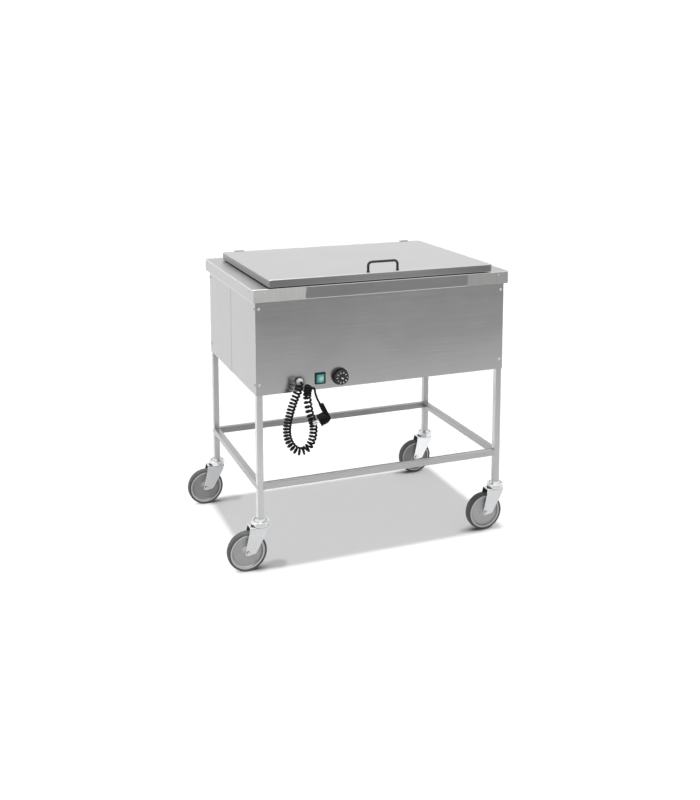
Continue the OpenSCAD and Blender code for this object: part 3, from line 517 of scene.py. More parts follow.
class TROLLEY_OT_body(bpy.types.Operator):
    """Finish the frame, panels, tank and lid in brushed steel"""

    bl_idname = "trolley.body"
    bl_label = "Steel body"

    SCREW = (0.74, 0.745, 0.75)
    # how far in from the rim's outer faces their masks begin and are full
    FACE_FROM, FACE_FULL = 0.007, 0.004

    def execute(self, context):
        steel = context.scene.trolley_steel
        self.panels(steel)
        self.lid(steel)
        self.fittings()
        finish_nodes(self.rim(steel), "top_frame")
        return {"FINISHED"}

    def panels(self, steel):
        """The body's sheets; those of the sides darken at their seam."""
        across = brushed("Sheet, grain across", tuple(steel.sheet), rough=0.24,
                         stretch=lengthwise(X, 520, 5), grain=steel.grain,
                         clouds=0.16)
        finish_nodes(across, "front_panel", "rear_panel", "bottom_panel")
        seam = (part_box("left_panel_front")[1].y
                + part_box("left_panel_rear")[0].y) / 2
        # the side sheets are painted darker than the front's, a painted shade
        back = brushed("Sheet, grain front to back",
                       scaled(steel.sheet, 0.76), rough=0.33,
                       stretch=lengthwise(Y, 520, 5), grain=steel.grain,
                       clouds=0.16,
                       shade=by_distance(Y, seam, low=0.001, high=0.004,
                                         out_low=0.66, out_high=1.0))
        finish_nodes(back, "left_panel_front", "left_panel_rear",
                     "right_panel_front", "right_panel_rear")

    def lid(self, steel):
        """The lid's sheet, painted darker than the front panel's, with more
        painted shade on its turned-down edge.
        """
        low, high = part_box("lid")

        def edge(tree, place):
            """A painted shade that darkens the turned-down edge, most at its
            ends.
            """
            top = band(tree, coordinate(tree, place, Z), high.z - 0.0035,
                       high.z - 0.0012)
            side = by_distance(X, (low.x + high.x) / 2, low=0.05, high=0.35,
                               out_low=0.86, out_high=0.64)
            return maths(tree, "MAXIMUM", top, side(tree, place))

        finish_nodes(brushed("Lid sheet", scaled(steel.sheet, 0.83),
                             rough=0.36, stretch=lengthwise(X, 480, 5),
                             grain=steel.grain, clouds=0.1, shade=edge),
                     "lid")

    def fittings(self):
        """The hinges, the tank, the screws and the pieces inside."""
        finish_nodes(brushed("Hinge steel", (0.26, 0.26, 0.262), rough=0.4,
                             stretch=lengthwise(X, 300, 5), grain=0.2,
                             clouds=0.2), "hinge_brackets", "hinge_leaves")
        finish_nodes(brushed("Tank sheet", (0.58, 0.58, 0.575), rough=0.4,
                             stretch=(60, 60, 60), grain=0.06, clouds=0.2,
                             height=0.004), "well_tank")
        low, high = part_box("front_panel")
        face = (high.x - low.x) / 2
        painted_side_shade = by_distance(X, (low.x + high.x) / 2, low=face,
                               high=face + 0.0006, out_low=1.0, out_high=0.5)
        # painted shade: dark rings round the bright screws where other surfaces
        # lie close, and the panel screws darker where they stand out past the
        # side panels
        for name, shade, nodes in (
                ("Bright screw steel", in_corners(distance=0.003, least=0.12),
                 ("handle_screws", "hinge_pins", "stretcher_bolts",
                  "leg_inserts", "thermostat_spindle")),
                ("Panel screw steel", painted_side_shade, ("panel_screws",))):
            finish_nodes(brushed(name, self.SCREW, rough=0.22,
                                 stretch=(300, 300, 300), grain=0.1,
                                 clouds=0.1, shade=shade), *nodes)
        finish_nodes(moulded("Element sheath", (0.12, 0.115, 0.11),
                             rough=0.55, pebble=600, dust=0.3, Metallic=0.7),
                     "heating_element")
        finish_nodes(moulded("Insulating case", (0.3, 0.27, 0.22), rough=0.6,
                             pebble=500, dust=0.1), "thermostat_body")
        finish_nodes(moulded("Buffer rubber", (0.03, 0.03, 0.03), rough=0.6,
                             pebble=900, dust=0.1), "lid_buffers")

    def rim(self, steel):
        """Rim steel, with painted light on its faces and bends and the welded
        corners ground across the grain.
        """
        low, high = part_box("top_frame")
        material, tree, shader, place = material_base(
            "Rim sheet, ground corners", Metallic=1.0)
        # the rim's sheet is scaled by its painted light
        sheet = tint(tree, tuple(steel.sheet),
                     self.rim_level(tree, place, low, high))
        plain = grained(tree, place, lengthwise(X, 520, 5), sheet, rough=0.33,
                        grain=steel.grain, clouds=0.15)
        # the ground steel is painted brighter at the left end than at the
        # right, a painted light
        painted_light_to_right = band(tree, coordinate(tree, place, X), low.x + 0.3,
                        high.x - 0.3)
        ground_tone_and_painted_light = blend(tree, painted_light_to_right, (0.7, 0.7, 0.69, 1),
                      (0.5, 0.5, 0.495, 1))
        ground = grained(tree, place, lengthwise(Z, 260, 9), ground_tone_and_painted_light,
                         rough=0.62, grain=0.34, clouds=0.15)
        patch = self.rim_patch(tree, place, low, high, steel)
        colour = blend(tree, patch, plain.outputs["Colour"],
                       ground.outputs["Colour"])
        rough, height = (blend(tree, patch, plain.outputs[key],
                               ground.outputs[key], "FLOAT")
                         for key in ("Roughness", "Height"))
        wire(tree, shader, colour, rough, height, strength=0.4, depth=0.03)
        return material

    def rim_patch(self, tree, place, low, high, steel):
        """Mask of the ground patches.

        It is 1 within a set length of either end of the front and rear
        faces, below their top bend, and has ragged ends.
        """
        soft, ragged = 0.002, 0.02
        x, y, z = (coordinate(tree, place, axis) for axis in (X, Y, Z))
        off = maths(tree, "SUBTRACT", noise(tree, place, 45.0, Detail=2.0))
        along = maths(tree, "ADD", x, maths(tree, "MULTIPLY", off, ragged))
        left_end = low.x + steel.patch_left
        right_end = high.x - steel.patch_right
        left = band(tree, along, left_end + soft, left_end - soft)
        right = band(tree, along, right_end - soft, right_end + soft)
        front = band(tree, y, low.y + self.FACE_FROM, low.y + self.FACE_FULL)
        rear = band(tree, y, high.y - self.FACE_FROM, high.y - self.FACE_FULL)
        below = band(tree, z, high.z - 0.0012, high.z - 0.0032)
        ends = maths(tree, "MAXIMUM", left, right)
        faces = maths(tree, "MAXIMUM", front, rear)
        return maths(tree, "MULTIPLY", maths(tree, "MULTIPLY", ends, faces),
                     below)

    def rim_level(self, tree, place, low, high):
        """How bright the rim's sheet is painted, as painted light.

        Each bend above and below its faces is brightest, a painted highlight,
        at levels that are taken from the rim's top and bottom, and the left and
        right faces are painted a little brighter than the rest.
        """
        z = coordinate(tree, place, Z)
        top_bend = maths(tree, "MULTIPLY",
                         band(tree, z, high.z - 0.0034, high.z - 0.0026),
                         band(tree, z, high.z - 0.0004, high.z - 0.001))
        low_bend = band(tree, z, low.z + 0.0034, low.z + 0.0024)
        painted_bend_highlight = maths(tree, "MAXIMUM", top_bend, low_bend)
        reach = (high.x - low.x) / 2
        faces = by_distance(X, (low.x + high.x) / 2,
                            low=reach - self.FACE_FROM,
                            high=reach - self.FACE_FULL,
                            out_low=0.7, out_high=0.78)
        return maths(tree, "ADD", faces(tree, place),
                     maths(tree, "MULTIPLY", painted_bend_highlight, 0.5))


class TROLLEY_OT_legs(bpy.types.Operator):
    """Finish the legs and stretchers in drawn tube"""

    bl_idname = "trolley.legs"
    bl_label = "Legs and stretchers"

    # each tube's material, its node, the axis along it and how bright it is
    # painted, a painted light or shade that differs from tube to tube
    TUBES = (("Tube, left front leg", "leg_front_left", Z, 1.2),
             ("Tube, right front leg", "leg_front_right", Z, 1.04),
             ("Tube, left rear leg", "leg_rear_left", Z, 1.01),
             ("Tube, right rear leg", "leg_rear_right", Z, 0.8),
             ("Tube, front stretcher", "stretcher_front", X, 0.95),
             ("Tube, rear stretcher", "stretcher_rear", X, 0.53),
             ("Tube, left stretcher", "stretcher_left", Y, 0.78),
             ("Tube, right stretcher", "stretcher_right", Y, 0.68))

    def execute(self, context):
        steel = context.scene.trolley_steel
        for name, node, axis, part in self.TUBES:
            # the front stretcher gets a painted shade on the rear of its top
            shade = self.rear_edge if node == "stretcher_front" else None
            finish_nodes(brushed(name, scaled(steel.tube, part), rough=0.34,
                                 stretch=lengthwise(axis, 420, 6), grain=0.22,
                                 clouds=0.2, shade=shade), node)
        return {"FINISHED"}

    def rear_edge(self, tree, place):
        """A painted shade that darkens the rear half of the front tube's top.
        """
        low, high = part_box("stretcher_front")
        middle = (low.y + high.y) / 2
        top = band(tree, coordinate(tree, place, Z), high.z - 0.0022,
                   high.z - 0.0012)
        rear = band(tree, coordinate(tree, place, Y), middle - 0.001,
                    middle + 0.004, 0.1, 0.7)
        return maths(tree, "SUBTRACT", 1.0,
                     maths(tree, "MULTIPLY", top, rear))


class TROLLEY_OT_handle(bpy.types.Operator):
    """Finish the lid's handle in black coating"""

    bl_idname = "trolley.handle"
    bl_label = "Lid handle"

    def execute(self, context):
        finish_nodes(moulded("Handle coating", (0.012, 0.012, 0.0125),
                             rough=0.4, pebble=700, dust=0.03), "lid_handle")
        return {"FINISHED"}


def catmull(points, n):
    """Smooth line through the points, n steps between each two.

    Each coordinate is a Catmull-Rom cubic of its four nearest points.
    """
    p = np.asarray(points, float)
    ends = np.concatenate([p[:1], p, p[-1:]])
    a, b, c, d = (ends[k:len(p) - 1 + k, None] for k in range(4))
    t = (np.arange(n) / n)[None, :, None]
    line = 0.5 * (2 * b + (c - a) * t + (2 * a - 5 * b + 4 * c - d) * t ** 2
                  + (3 * b - a - 3 * c + d) * t ** 3)
    return np.concatenate([line.reshape(-1, 3), p[-1:]])


class TROLLEY_OT_lead(bpy.types.Operator):
    """Make the curly mains lead, its plug and its pins"""

    bl_idname = "trolley.lead"
    bl_label = "Mains lead"

    # the coil's axis and the free end, as offsets from the gland's nose, mm
    AXIS = ((-9.8, -13, 0), (-10, -13, -11), (-13.5, -12, -23),
            (-19, -10, -37), (-30, -7, -67), (-40, -4, -104),
            (-46, -2, -139), (-43.5, -2, -170), (-33, -2, -194),
            (-16, -2, -212), (3, -2, -217), (20, -2, -209),
            (32.5, -2, -191), (38.5, -3, -166), (39, -3, -144),
            (34, -5, -121), (26, -7, -98), (21, -10, -75), (17, -12, -53),
            (15, -15, -34), (16, -18, -20), (18, -22, -6))
    TAIL = ((33, -32, -15), (35, -33, -28), (39, -35, -42))
    PLUG = (48, -38, -62)
    # the pitch of the curls at each share of the axis, mm
    PITCH = ((0, 12), (0.06, 12), (0.14, 10.8), (0.3, 9.8), (0.37, 10.8),
             (0.43, 12.6), (0.56, 13.2), (0.62, 11.4), (0.7, 11.2),
             (0.77, 13), (0.8, 15.3), (0.91, 15.3), (0.935, 9.4), (1, 8.8))
    # the lean of the plug's neck from upright, and its turn from +X to -Y
    PLUG_LEAN, PLUG_TURN = math.radians(26), math.radians(8)
    # steps of the line: between two points of the axis and two of the free
    # end, round one curl, and over the stub that joins gland and coil
    AXIS_STEPS, TAIL_STEPS, PER_CURL, STUB_STEPS = 10, 6, 24, 5
    # the part of a curl past the last whole one, and how many curls to each
    # side of a point its direction is taken from
    LAST_CURL, REACH = 0.25, 0.3

    def curls(self, radius):
        """The coil's line and its side directions, in millimetres.

        The axis is a smooth line. Its curls turn once for each pitch of
        its length, and a point of the curl is the axis point plus the curl
        radius times cos(turn) u + sin(turn) v, with u and v square to it.
        """
        axis = catmull(self.AXIS, self.AXIS_STEPS)
        step = np.linalg.norm(np.diff(axis, axis=0), axis=1)
        along = np.concatenate([[0], np.cumsum(step)])
        share = (along[1:] + along[:-1]) / 2 / along[-1]
        where, pitch = np.array(self.PITCH).T
        turns = np.concatenate([[0], np.cumsum(
            step / np.interp(share, where, pitch))])
        count = round(turns[-1]) + self.LAST_CURL
        turns = turns * count / turns[-1]

        def on_axis(n):
            """The axis point after n curls."""
            return np.stack([np.interp(n, turns, axis[:, c])
                             for c in (X, Y, Z)], -1)

        n = np.linspace(0, count, int(count * self.PER_CURL) + 1)
        way = unit(on_axis(np.minimum(n + self.REACH, count))
                   - on_axis(np.maximum(n - self.REACH, 0)))
        u = unit(np.cross((0, 1, 0), way))
        v = np.cross(way, u)
        turn = (np.pi + 2 * np.pi * n)[:, None]
        out = np.cos(turn) * u + np.sin(turn) * v
        return on_axis(n) + radius * out, out

    def free_end(self, coil, cord):
        """The line from the last curl into the plug's neck, in millimetres.

        It leaves along the chord of the last eighth of a turn, passes the
        chosen points and enters the neck along its lean. It runs straight
        for a little more than a cord's thickness at each end. The smooth
        line's first and last stretch only steer it and are cut off.
        """
        straight, inside = 1.2 * cord, 4
        eighth = self.PER_CURL // 8
        leave = unit(coil[-1] - coil[-1 - eighth])
        start = coil[-1] + straight * leave
        plug = np.array(self.PLUG, float)
        across = math.sin(self.PLUG_LEAN)
        into = np.array([across * math.cos(self.PLUG_TURN),
                         -across * math.sin(self.PLUG_TURN),
                         -math.cos(self.PLUG_LEAN)])
        tail = catmull([coil[-2 - eighth], coil[-1], start,
                        start + straight / 2 * leave, *self.TAIL,
                        plug - straight * into, plug, plug + inside * into],
                       self.TAIL_STEPS)
        return tail[self.TAIL_STEPS + 1:-self.TAIL_STEPS]

    def route(self, lead):
        """The lead's centre line and its side directions, in metres."""
        low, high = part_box("cable_gland")
        nose = np.array([(low.x + high.x) / 2, low.y,
                         (low.z + high.z) / 2]) / MM
        cord = lead.cord / MM
        coil, out = self.curls((lead.coil - lead.cord) / 2 / MM)
        tail = self.free_end(coil, cord)
        stub = np.linspace((0, 0, 0), coil[0], self.STUB_STEPS + 1)[:-1]
        line = (nose + np.concatenate([stub, coil, tail])) * MM
        side = np.concatenate([np.broadcast_to(out[0], stub.shape), out,
                               np.broadcast_to(out[-1], tail.shape)])
        return line, side

    def execute(self, context):
        lead = context.scene.trolley_lead
        line, side = self.route(lead)
        rubber = moulded("Cord sheath", tuple(lead.colour), rough=0.55,
                         pebble=1500, dust=0.01, height=0.02,
                         Specular_IOR_Level=0.12)
        points, faces = sweep(line, side, lead.cord / 2, sides=14)
        cord = make_piece("mains_lead", points, faces, "trolley",
                          rubber, sharp=60)
        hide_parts("cord_coil", "cord_tail")
        black = moulded("Plug rubber", tuple(lead.colour), rough=0.6,
                        pebble=900, dust=0.01, Specular_IOR_Level=0.12)
        finish_nodes(black, "plug")
        finish_nodes(brushed("Plated pins", (0.92, 0.92, 0.91), rough=0.3,
                             stretch=(300, 300, 300), grain=0.1, clouds=0.1),
                     "plug_pins")
        return {"FINISHED"}


class TROLLEY_OT_casters(bpy.types.Operator):
    """Finish the casters and make their ribbed tyres"""

    bl_idname = "trolley.casters"
    bl_label = "Casters"

    # where the disc's pale rim begins, and the dark line inside it begins
    # and ends, each from none to full, as distances in from the disc's edge
    RIM = (0.0052, 0.0046)
    LINE_FROM, LINE_TO = (0.0072, 0.0064), (0.0052, 0.0058)
    # radius of the tread's arc and of the tyre's shoulders, and points on
    # each of them
    CROWN, SHOULDER, CROWN_POINTS, SHOULDER_POINTS = 0.06, 0.003, 17, 7
    # the side walls' first edge out from the wheel, and their last before
    # the shoulder
    WALL_IN, WALL_OUT = 0.0015, 0.001
    STEPS_PER_RIB = 6

    def execute(self, context):
        steel = context.scene.trolley_steel
        caster = context.scene.trolley_casters
        # the zinc is darkened where other surfaces lie close, a painted shade
        # in the casters' corners and under their saucers
        zinc = brushed("Bright zinc", tuple(steel.zinc), rough=0.15,
                       stretch=(90, 90, 90), grain=0.12, clouds=0.3,
                       shade=in_corners(distance=0.02, least=0.06))
        rubber = moulded("Grey tyre rubber", tuple(caster.tyre), rough=0.6,
                         pebble=800, dust=0.12, height=0.05)
        for corner in CORNERS:
            finish_nodes(zinc, "caster_head_" + corner, "fork_" + corner,
                         "axle_" + corner)
            finish_nodes(self.disc(corner, caster), "wheel_" + corner)
            self.tyre(corner, caster, rubber)
        return {"FINISHED"}

    def disc(self, corner, caster):
        """Grey nylon with a paler rim and a thin dark line inside it.

        The rings are masks on the distance from the wheel's axis.
        """
        low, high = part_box("wheel_" + corner)
        edge = (high.z - low.z) / 2
        axle = ((low.x + high.x) / 2, 0, (low.z + high.z) / 2)
        rough = 0.45
        material, tree, shader, place = material_base(
            "Wheel disc nylon, " + corner, Roughness=rough)
        flat = add(tree, "ShaderNodeVectorMath", operation="MULTIPLY",
                   inputs={0: place, 1: (1, 0, 1)}).outputs[0]
        radius = add(tree, "ShaderNodeVectorMath", operation="DISTANCE",
                     inputs={0: flat, 1: axle}).outputs["Value"]
        rim, line_from, line_to = (
            band(tree, radius, edge - none, edge - full)
            for none, full in (self.RIM, self.LINE_FROM, self.LINE_TO))
        line = maths(tree, "MULTIPLY", line_from, line_to)
        # the disc's grey is scaled by its corner's painted shade
        skin = skinned(tree, place, scaled(caster.disc, DISC_PAINTED_SHADE[corner]),
                       rough, pebble=700, dust=0.08)
        pale = blend(tree, rim, skin.outputs["Colour"],
                     (0.6, 0.6, 0.605, 1))
        dark = blend(tree, maths(tree, "MULTIPLY", line, 0.6), pale,
                     (0.12, 0.12, 0.125, 1))
        tree.links.new(dark, shader.inputs["Base Color"])
        return material

    def tyre(self, corner, caster, rubber):
        """A ribbed tyre over the wheel's rim.

        The profile is the band's two sides, round shoulders and a tread
        that is an arc of a large circle. Between the ribs the radius drops
        by the groove's depth, by a squared-off wave of the angle that
        fades out towards the middle of the tread.
        """
        low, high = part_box("tyre_" + corner)
        outer, half = (high.z - low.z) / 2, (high.y - low.y) / 2
        hub_low, hub_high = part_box("wheel_" + corner)
        inner = (hub_high.z - hub_low.z) / 2
        to_shoulder = self.CROWN - self.SHOULDER
        in_y = half - self.SHOULDER
        at_x = outer - self.CROWN + math.sqrt(to_shoulder ** 2 - in_y ** 2)
        meet = math.asin(in_y / to_shoulder)
        arc = np.linspace(-meet, meet, self.CROWN_POINTS)
        bend = np.linspace(math.pi / 2, meet, self.SHOULDER_POINTS)[:-1]
        tread = np.stack([outer - self.CROWN + self.CROWN * np.cos(arc),
                          self.CROWN * np.sin(arc)], 1)
        round_off = np.stack([at_x + self.SHOULDER * np.cos(bend),
                              in_y + self.SHOULDER * np.sin(bend)], 1)
        wall = np.array([[inner, half], [inner + self.WALL_IN, half],
                         [at_x - self.WALL_OUT, half]])
        top = np.concatenate([wall, round_off])
        profile = np.concatenate([top * (1, -1), tread, top[::-1]])

        def grooves(angle, rows):
            """Minus the depth of the grooves at each angle and point."""
            # the wave's level and slope, half the width of the tread's
            # plain middle, and the width in which the grooves set in
            level, steepness, plain, fade = 0.2, 2.2, 0.0035, 0.002
            wave = np.cos(angle * caster.ribs)
            cut = np.clip((level - wave) * steepness, 0, 1)
            side = np.clip((np.abs(rows[:, 1]) - plain) / fade, 0, 1)
            return -caster.groove * cut * (side * (rows[:, 0] > at_x))[None]

        points, faces = turned(profile, (low + high) / 2, (0, 1, 0),
                               caster.ribs * self.STEPS_PER_RIB, grooves)
        tyre = make_piece("ribbed_tyre_" + corner, points, faces,
                          "wheel_" + corner, rubber, sharp=40)
        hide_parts("tyre_" + corner)


class TROLLEY_OT_controls(bpy.types.Operator):
    """Finish the switch, the knob with its numbers and the gland"""

    bl_idname = "trolley.controls"
    bl_label = "Controls"

    BLACK = (0.012, 0.012, 0.013)
    # the nut's length behind the gland's nose, where the black base begins
    NUT_END = (0.0145, 0.0155)
    # the lamp's painted glow: its place from the lens's middle, and its radius
    # where it is none and full
    SPOT_X, SPOT_Z, SPOT = 0.003, -0.002, (0.0135, 0.003)
    # the digits' angles from the top of the knob in degrees, and their
    # distance from its middle as a share of its radius
    FIRST_DIGIT, DIGIT_STEP, DIGIT_REACH = -162, 36, 0.58
    # the pointer, a white printed mark that also stands as a painted highlight
    # near the knob's middle: its angle and distance, and its size in digits'
    # heights
    POINTER, POINTER_REACH, POINTER_SIZE = 112, 0.1, 3.2
    # the marks' thickness and their strokes' extra width in marks' heights
    RAISED, BOLD = 0.0002, 0.045
    # the knob's dished face: its radius, and its edge's distance from the
    # knob's axis and, along the axis, from the centre that it's drawn from
    DISH, DISH_EDGE, DISH_LEVEL = 0.078, 0.0157, 0.0764

    def execute(self, context):
        controls = context.scene.trolley_controls
        finish_nodes(moulded("Switch frame", self.BLACK, rough=0.3,
                             pebble=1200, dust=0.02), "switch_bezel")
        finish_nodes(self.lens(controls), "switch_rocker")
        finish_nodes(moulded("Knob black", self.BLACK, rough=0.3,
                             pebble=1200, dust=0.03), "control_knob")
        finish_nodes(self.gland(), "cable_gland", "gland_locknut")
        self.numbers(controls)
        return {"FINISHED"}

    def gland(self):
        """Pale nylon nut on a black base.

        The base is a mask on the distance behind the gland's nose.
        """
        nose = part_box("cable_gland")[0].y
        rough = 0.4
        material, tree, shader, place = material_base(
            "Gland nylon", Roughness=rough)
        skin = skinned(tree, place, (0.52, 0.52, 0.51), rough, pebble=900,
                       dust=0.05)
        base = band(tree, coordinate(tree, place, Y),
                    *(nose + length for length in self.NUT_END))
        tree.links.new(blend(tree, base, skin.outputs["Colour"],
                             (0.01, 0.01, 0.01, 1)),
                       shader.inputs["Base Color"])
        return material

    def lens(self, controls):
        """Green translucent plastic, with a painted glow where the lamp sits
        behind it.

        The painted glow is a smooth step of the distance from the lamp's place,
        a little below and to the right of the lens's middle.
        """
        low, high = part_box("switch_rocker")
        material, tree, shader, place = material_base(
            "Green lens", Specular_IOR_Level=0.5, Coat_Weight=0.4,
            Coat_Roughness=0.08)
        lamp = ((low.x + high.x) / 2 + self.SPOT_X, low.y,
                (low.z + high.z) / 2 + self.SPOT_Z)
        gap = add(tree, "ShaderNodeVectorMath", operation="DISTANCE",
                  inputs={0: place, 1: lamp}).outputs["Value"]
        glow = maths(tree, "MULTIPLY", band(tree, gap, *self.SPOT), 0.9)
        ripple = add(tree, "ShaderNodeTexWave", bands_direction="Z",
                     inputs={"Vector": place, "Scale": 260.0,
                             "Distortion": 0.4}).outputs["Fac"]
        colour = blend(tree, glow, (*controls.lens, 1), (0.42, 0.81, 0.76, 1))
        rough = maths(tree, "ADD", maths(tree, "MULTIPLY", ripple, 0.08),
                      0.16)
        wire(tree, shader, colour, rough, ripple, strength=0.3, depth=0.05)
        return material

    def flat_text(self, words, size, turn, at):
        """Raised letters as points and faces, upright and facing -Y.

        The letters' own X and Y become X and Z, turned in that plane.
        """
        curve = bpy.data.curves.new("digit", "FONT")
        curve.body = words
        curve.size = size
        curve.extrude = self.RAISED
        curve.offset = self.BOLD * size
        curve.align_x = curve.align_y = "CENTER"
        curve.resolution_u = 3
        item = bpy.data.objects.new("digit", curve)
        bpy.context.scene.collection.objects.link(item)
        bpy.context.view_layer.update()
        shape = item.to_mesh()
        own = np.empty(len(shape.vertices) * 3)
        shape.vertices.foreach_get("co", own)
        own = own.reshape(-1, 3)
        faces = [list(f.vertices) for f in shape.polygons]
        item.to_mesh_clear()
        bpy.data.objects.remove(item)
        bpy.data.curves.remove(curve)
        c, s = math.cos(turn), math.sin(turn)
        points = np.stack([c * own[:, 0] - s * own[:, 1], -own[:, 2],
                           s * own[:, 0] + c * own[:, 1]], 1) + at
        return points, faces

    def marks(self, controls):
        """Rows of a mark's text, height, angle on the dial, reach, turn."""
        for k in range(10):
            angle = math.radians(self.FIRST_DIGIT + self.DIGIT_STEP * k)
            yield str(k), controls.digit, angle, self.DIGIT_REACH, -angle
        # the pointer: a white mark near the middle that stands as a painted
        # highlight
        angle = math.radians(self.POINTER)
        yield ("-", self.POINTER_SIZE * controls.digit, angle,
               self.POINTER_REACH, math.pi / 2 - angle)

    def numbers(self, controls):
        """White numbers 0 to 9 round the knob's face, and its pointer, a
        printed mark that is also a painted highlight.

        Each point moves back by the dish's depth at its distance r from
        the knob's axis, the root of (dish radius squared minus r squared)
        less the edge's level.
        """
        low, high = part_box("control_knob")
        mid = np.array([(low.x + high.x) / 2, low.y, (low.z + high.z) / 2])
        radius = (high.x - low.x) / 2
        paint = moulded("Dial print", tuple(controls.print_colour), rough=0.5,
                        pebble=900, dust=0.0)
        points, faces, count = [], [], 0
        for words, size, angle, reach, turn in self.marks(controls):
            at = mid + np.array([math.sin(angle) * radius * reach, -0.1 * MM,
                                 math.cos(angle) * radius * reach])
            mark, mark_faces = self.flat_text(words, size, turn, at)
            r2 = np.minimum(((mark - mid)[:, [0, 2]] ** 2).sum(1),
                            self.DISH_EDGE ** 2)
            mark[:, 1] += np.sqrt(self.DISH ** 2 - r2) - self.DISH_LEVEL
            points.append(mark)
            faces += [[i + count for i in face] for face in mark_faces]
            count += len(mark)
        make_piece("dial_numbers", np.concatenate(points), faces, "knob",
                   paint, sharp=30)


class TROLLEY_OT_studio(bpy.types.Operator):
    """Set up the pale floor, the soft lamps and the camera"""

    bl_idname = "trolley.studio"
    bl_label = "Studio"

    CAMERA_AT = (-1.19975, -3.1426, 1.4826)
    # the picture's longer side in dots, and the same side on the film in mm
    PICTURE, FILM = 800, 36.0
    # half the floor's width, and as far as the camera sees
    FAR = 60
    # the dim studio: half its width, its rear wall and its front edge on Y,
    # the wall's top and the dim floor's height
    DIM_HALF, DIM_BACK, DIM_FRONT, DIM_TOP, DIM_LOW = 9, -5.2, -0.36, 1.2, 0.002
    # the dim level rises between these places on Y, by this power and by
    # this much
    DIM_FROM, DIM_TO, DIM_POWER, DIM_RISE = -4.3, -1.0, 2.5, 0.74
    # the world's strength as light, and as the camera sees it
    WORLD_LIGHT, WORLD_SEEN = 0.55, 1.1

    def execute(self, context):
        studio = context.scene.trolley_studio
        self.camera(context.scene, studio)
        floor = self.floor(studio)
        self.dark_front(studio)
        # only the body and the lid draw the shadow of the light from above
        self.sun("top_light", power=studio.sun, spread=2.2,
                 towards=(0, 0, 1), lit=None, blockers=[
                     CAD[name] for name in (
                         "top_frame", "bottom_panel", "lid", "front_panel",
                         "rear_panel")])
        # the floor has a light from each side, in which only the casters
        # of that side draw streaks
        for name, lean, corners in (("left_light", -0.36, ("fl", "rl")),
                                    ("right_light", 0.36, ("fr", "rr"))):
            self.sun(name, power=studio.streak, spread=4,
                     towards=(lean, -0.04, 0.93), lit=[floor], blockers=[
                         CAD[kind + corner] for corner in corners
                         for kind in ("wheel_", "tyre_", "fork_",
                                      "caster_head_")])
        self.lamp("left_softbox", at=(-3.4, -0.6, 2.0), aim=(0.0, 0.0, 0.6),
                  size=1.8, power=12)
        self.world(context.scene)
        context.scene.view_settings.view_transform = "Standard"
        return {"FINISHED"}

    def camera(self, scene, studio):
        """The photograph's camera: turned, tilted and with a shifted lens."""
        data = bpy.data.cameras.new("photo_camera")
        data.sensor_width = self.FILM
        data.lens = studio.lens_px * self.FILM / self.PICTURE
        data.shift_y = studio.shift_px / self.PICTURE
        data.clip_start, data.clip_end = 0.05, self.FAR
        eye = bpy.data.objects.new("photo_camera", data)
        eye.location = self.CAMERA_AT
        eye.rotation_euler = (math.pi / 2 - studio.pitch, 0, -studio.yaw)
        scene.collection.objects.link(eye)
        scene.camera = eye

    def sun(self, name, power, spread, towards, lit, blockers):
        """Soft sunlight from a direction, whose shadow only blockers draw.

        The spread is in degrees. It lights the pieces in lit, or everything
        where that is None.
        """
        data = bpy.data.lights.new(name, "SUN")
        data.energy, data.angle = power, math.radians(spread)
        sun = bpy.data.objects.new(name, data)
        sun.location = (0, 0, 4)
        sun.rotation_euler = Vector(towards).to_track_quat(
            "Z", "Y").to_euler()
        bpy.context.scene.collection.objects.link(sun)
        for kind, pieces in (("receiver_collection", lit),
                             ("blocker_collection", blockers)):
            if pieces:
                group = bpy.data.collections.new(name + " " + kind)
                for piece in pieces:
                    group.objects.link(piece)
                setattr(sun.light_linking, kind, group)

    def lamp(self, name, at, aim, size, power):
        """A square soft lamp that points from one place at another."""
        data = bpy.data.lights.new(name, "AREA")
        data.size, data.energy = size, power
        lamp = bpy.data.objects.new(name, data)
        lamp.location = at
        lamp.rotation_euler = (Vector(aim) - Vector(at)).to_track_quat(
            "-Z", "Y").to_euler()
        bpy.context.scene.collection.objects.link(lamp)

    def floor(self, studio):
        """Floor that is white in the open and an even grey in the shadow.

        To the camera and to shiny surfaces it is its lit colour plus plain
        white, which fills the shadow evenly.
        """
        material, tree, shader, place = material_base(
            "Pale floor", Roughness=0.9, Specular_IOR_Level=0.0)
        tone = tint(tree, tuple(studio.floor),
                    band(tree, noise(tree, place, 3.0), 0.3, 0.7, 0.995,
                         1.005))
        # a painted contact shadow darkens the floor's colour and its white
        # round the wheels
        free = self.contact(tree, place)
        tree.links.new(tint(tree, tone, free), shader.inputs["Base Color"])
        glow = add(tree, "ShaderNodeEmission", inputs={
            "Strength": maths(tree, "MULTIPLY", self.seen(tree), maths(
                tree, "MULTIPLY", free, studio.lift))})
        both = add(tree, "ShaderNodeAddShader", inputs={
            0: shader.outputs[0], 1: glow.outputs[0]})
        tree.links.new(both.outputs[0],
                       tree.nodes["Material Output"].inputs["Surface"])
        far = self.FAR
        return self.card("studio_floor", material, [
            (-far, -far, 0), (far, -far, 0), (far, far, 0), (-far, far, 0)])

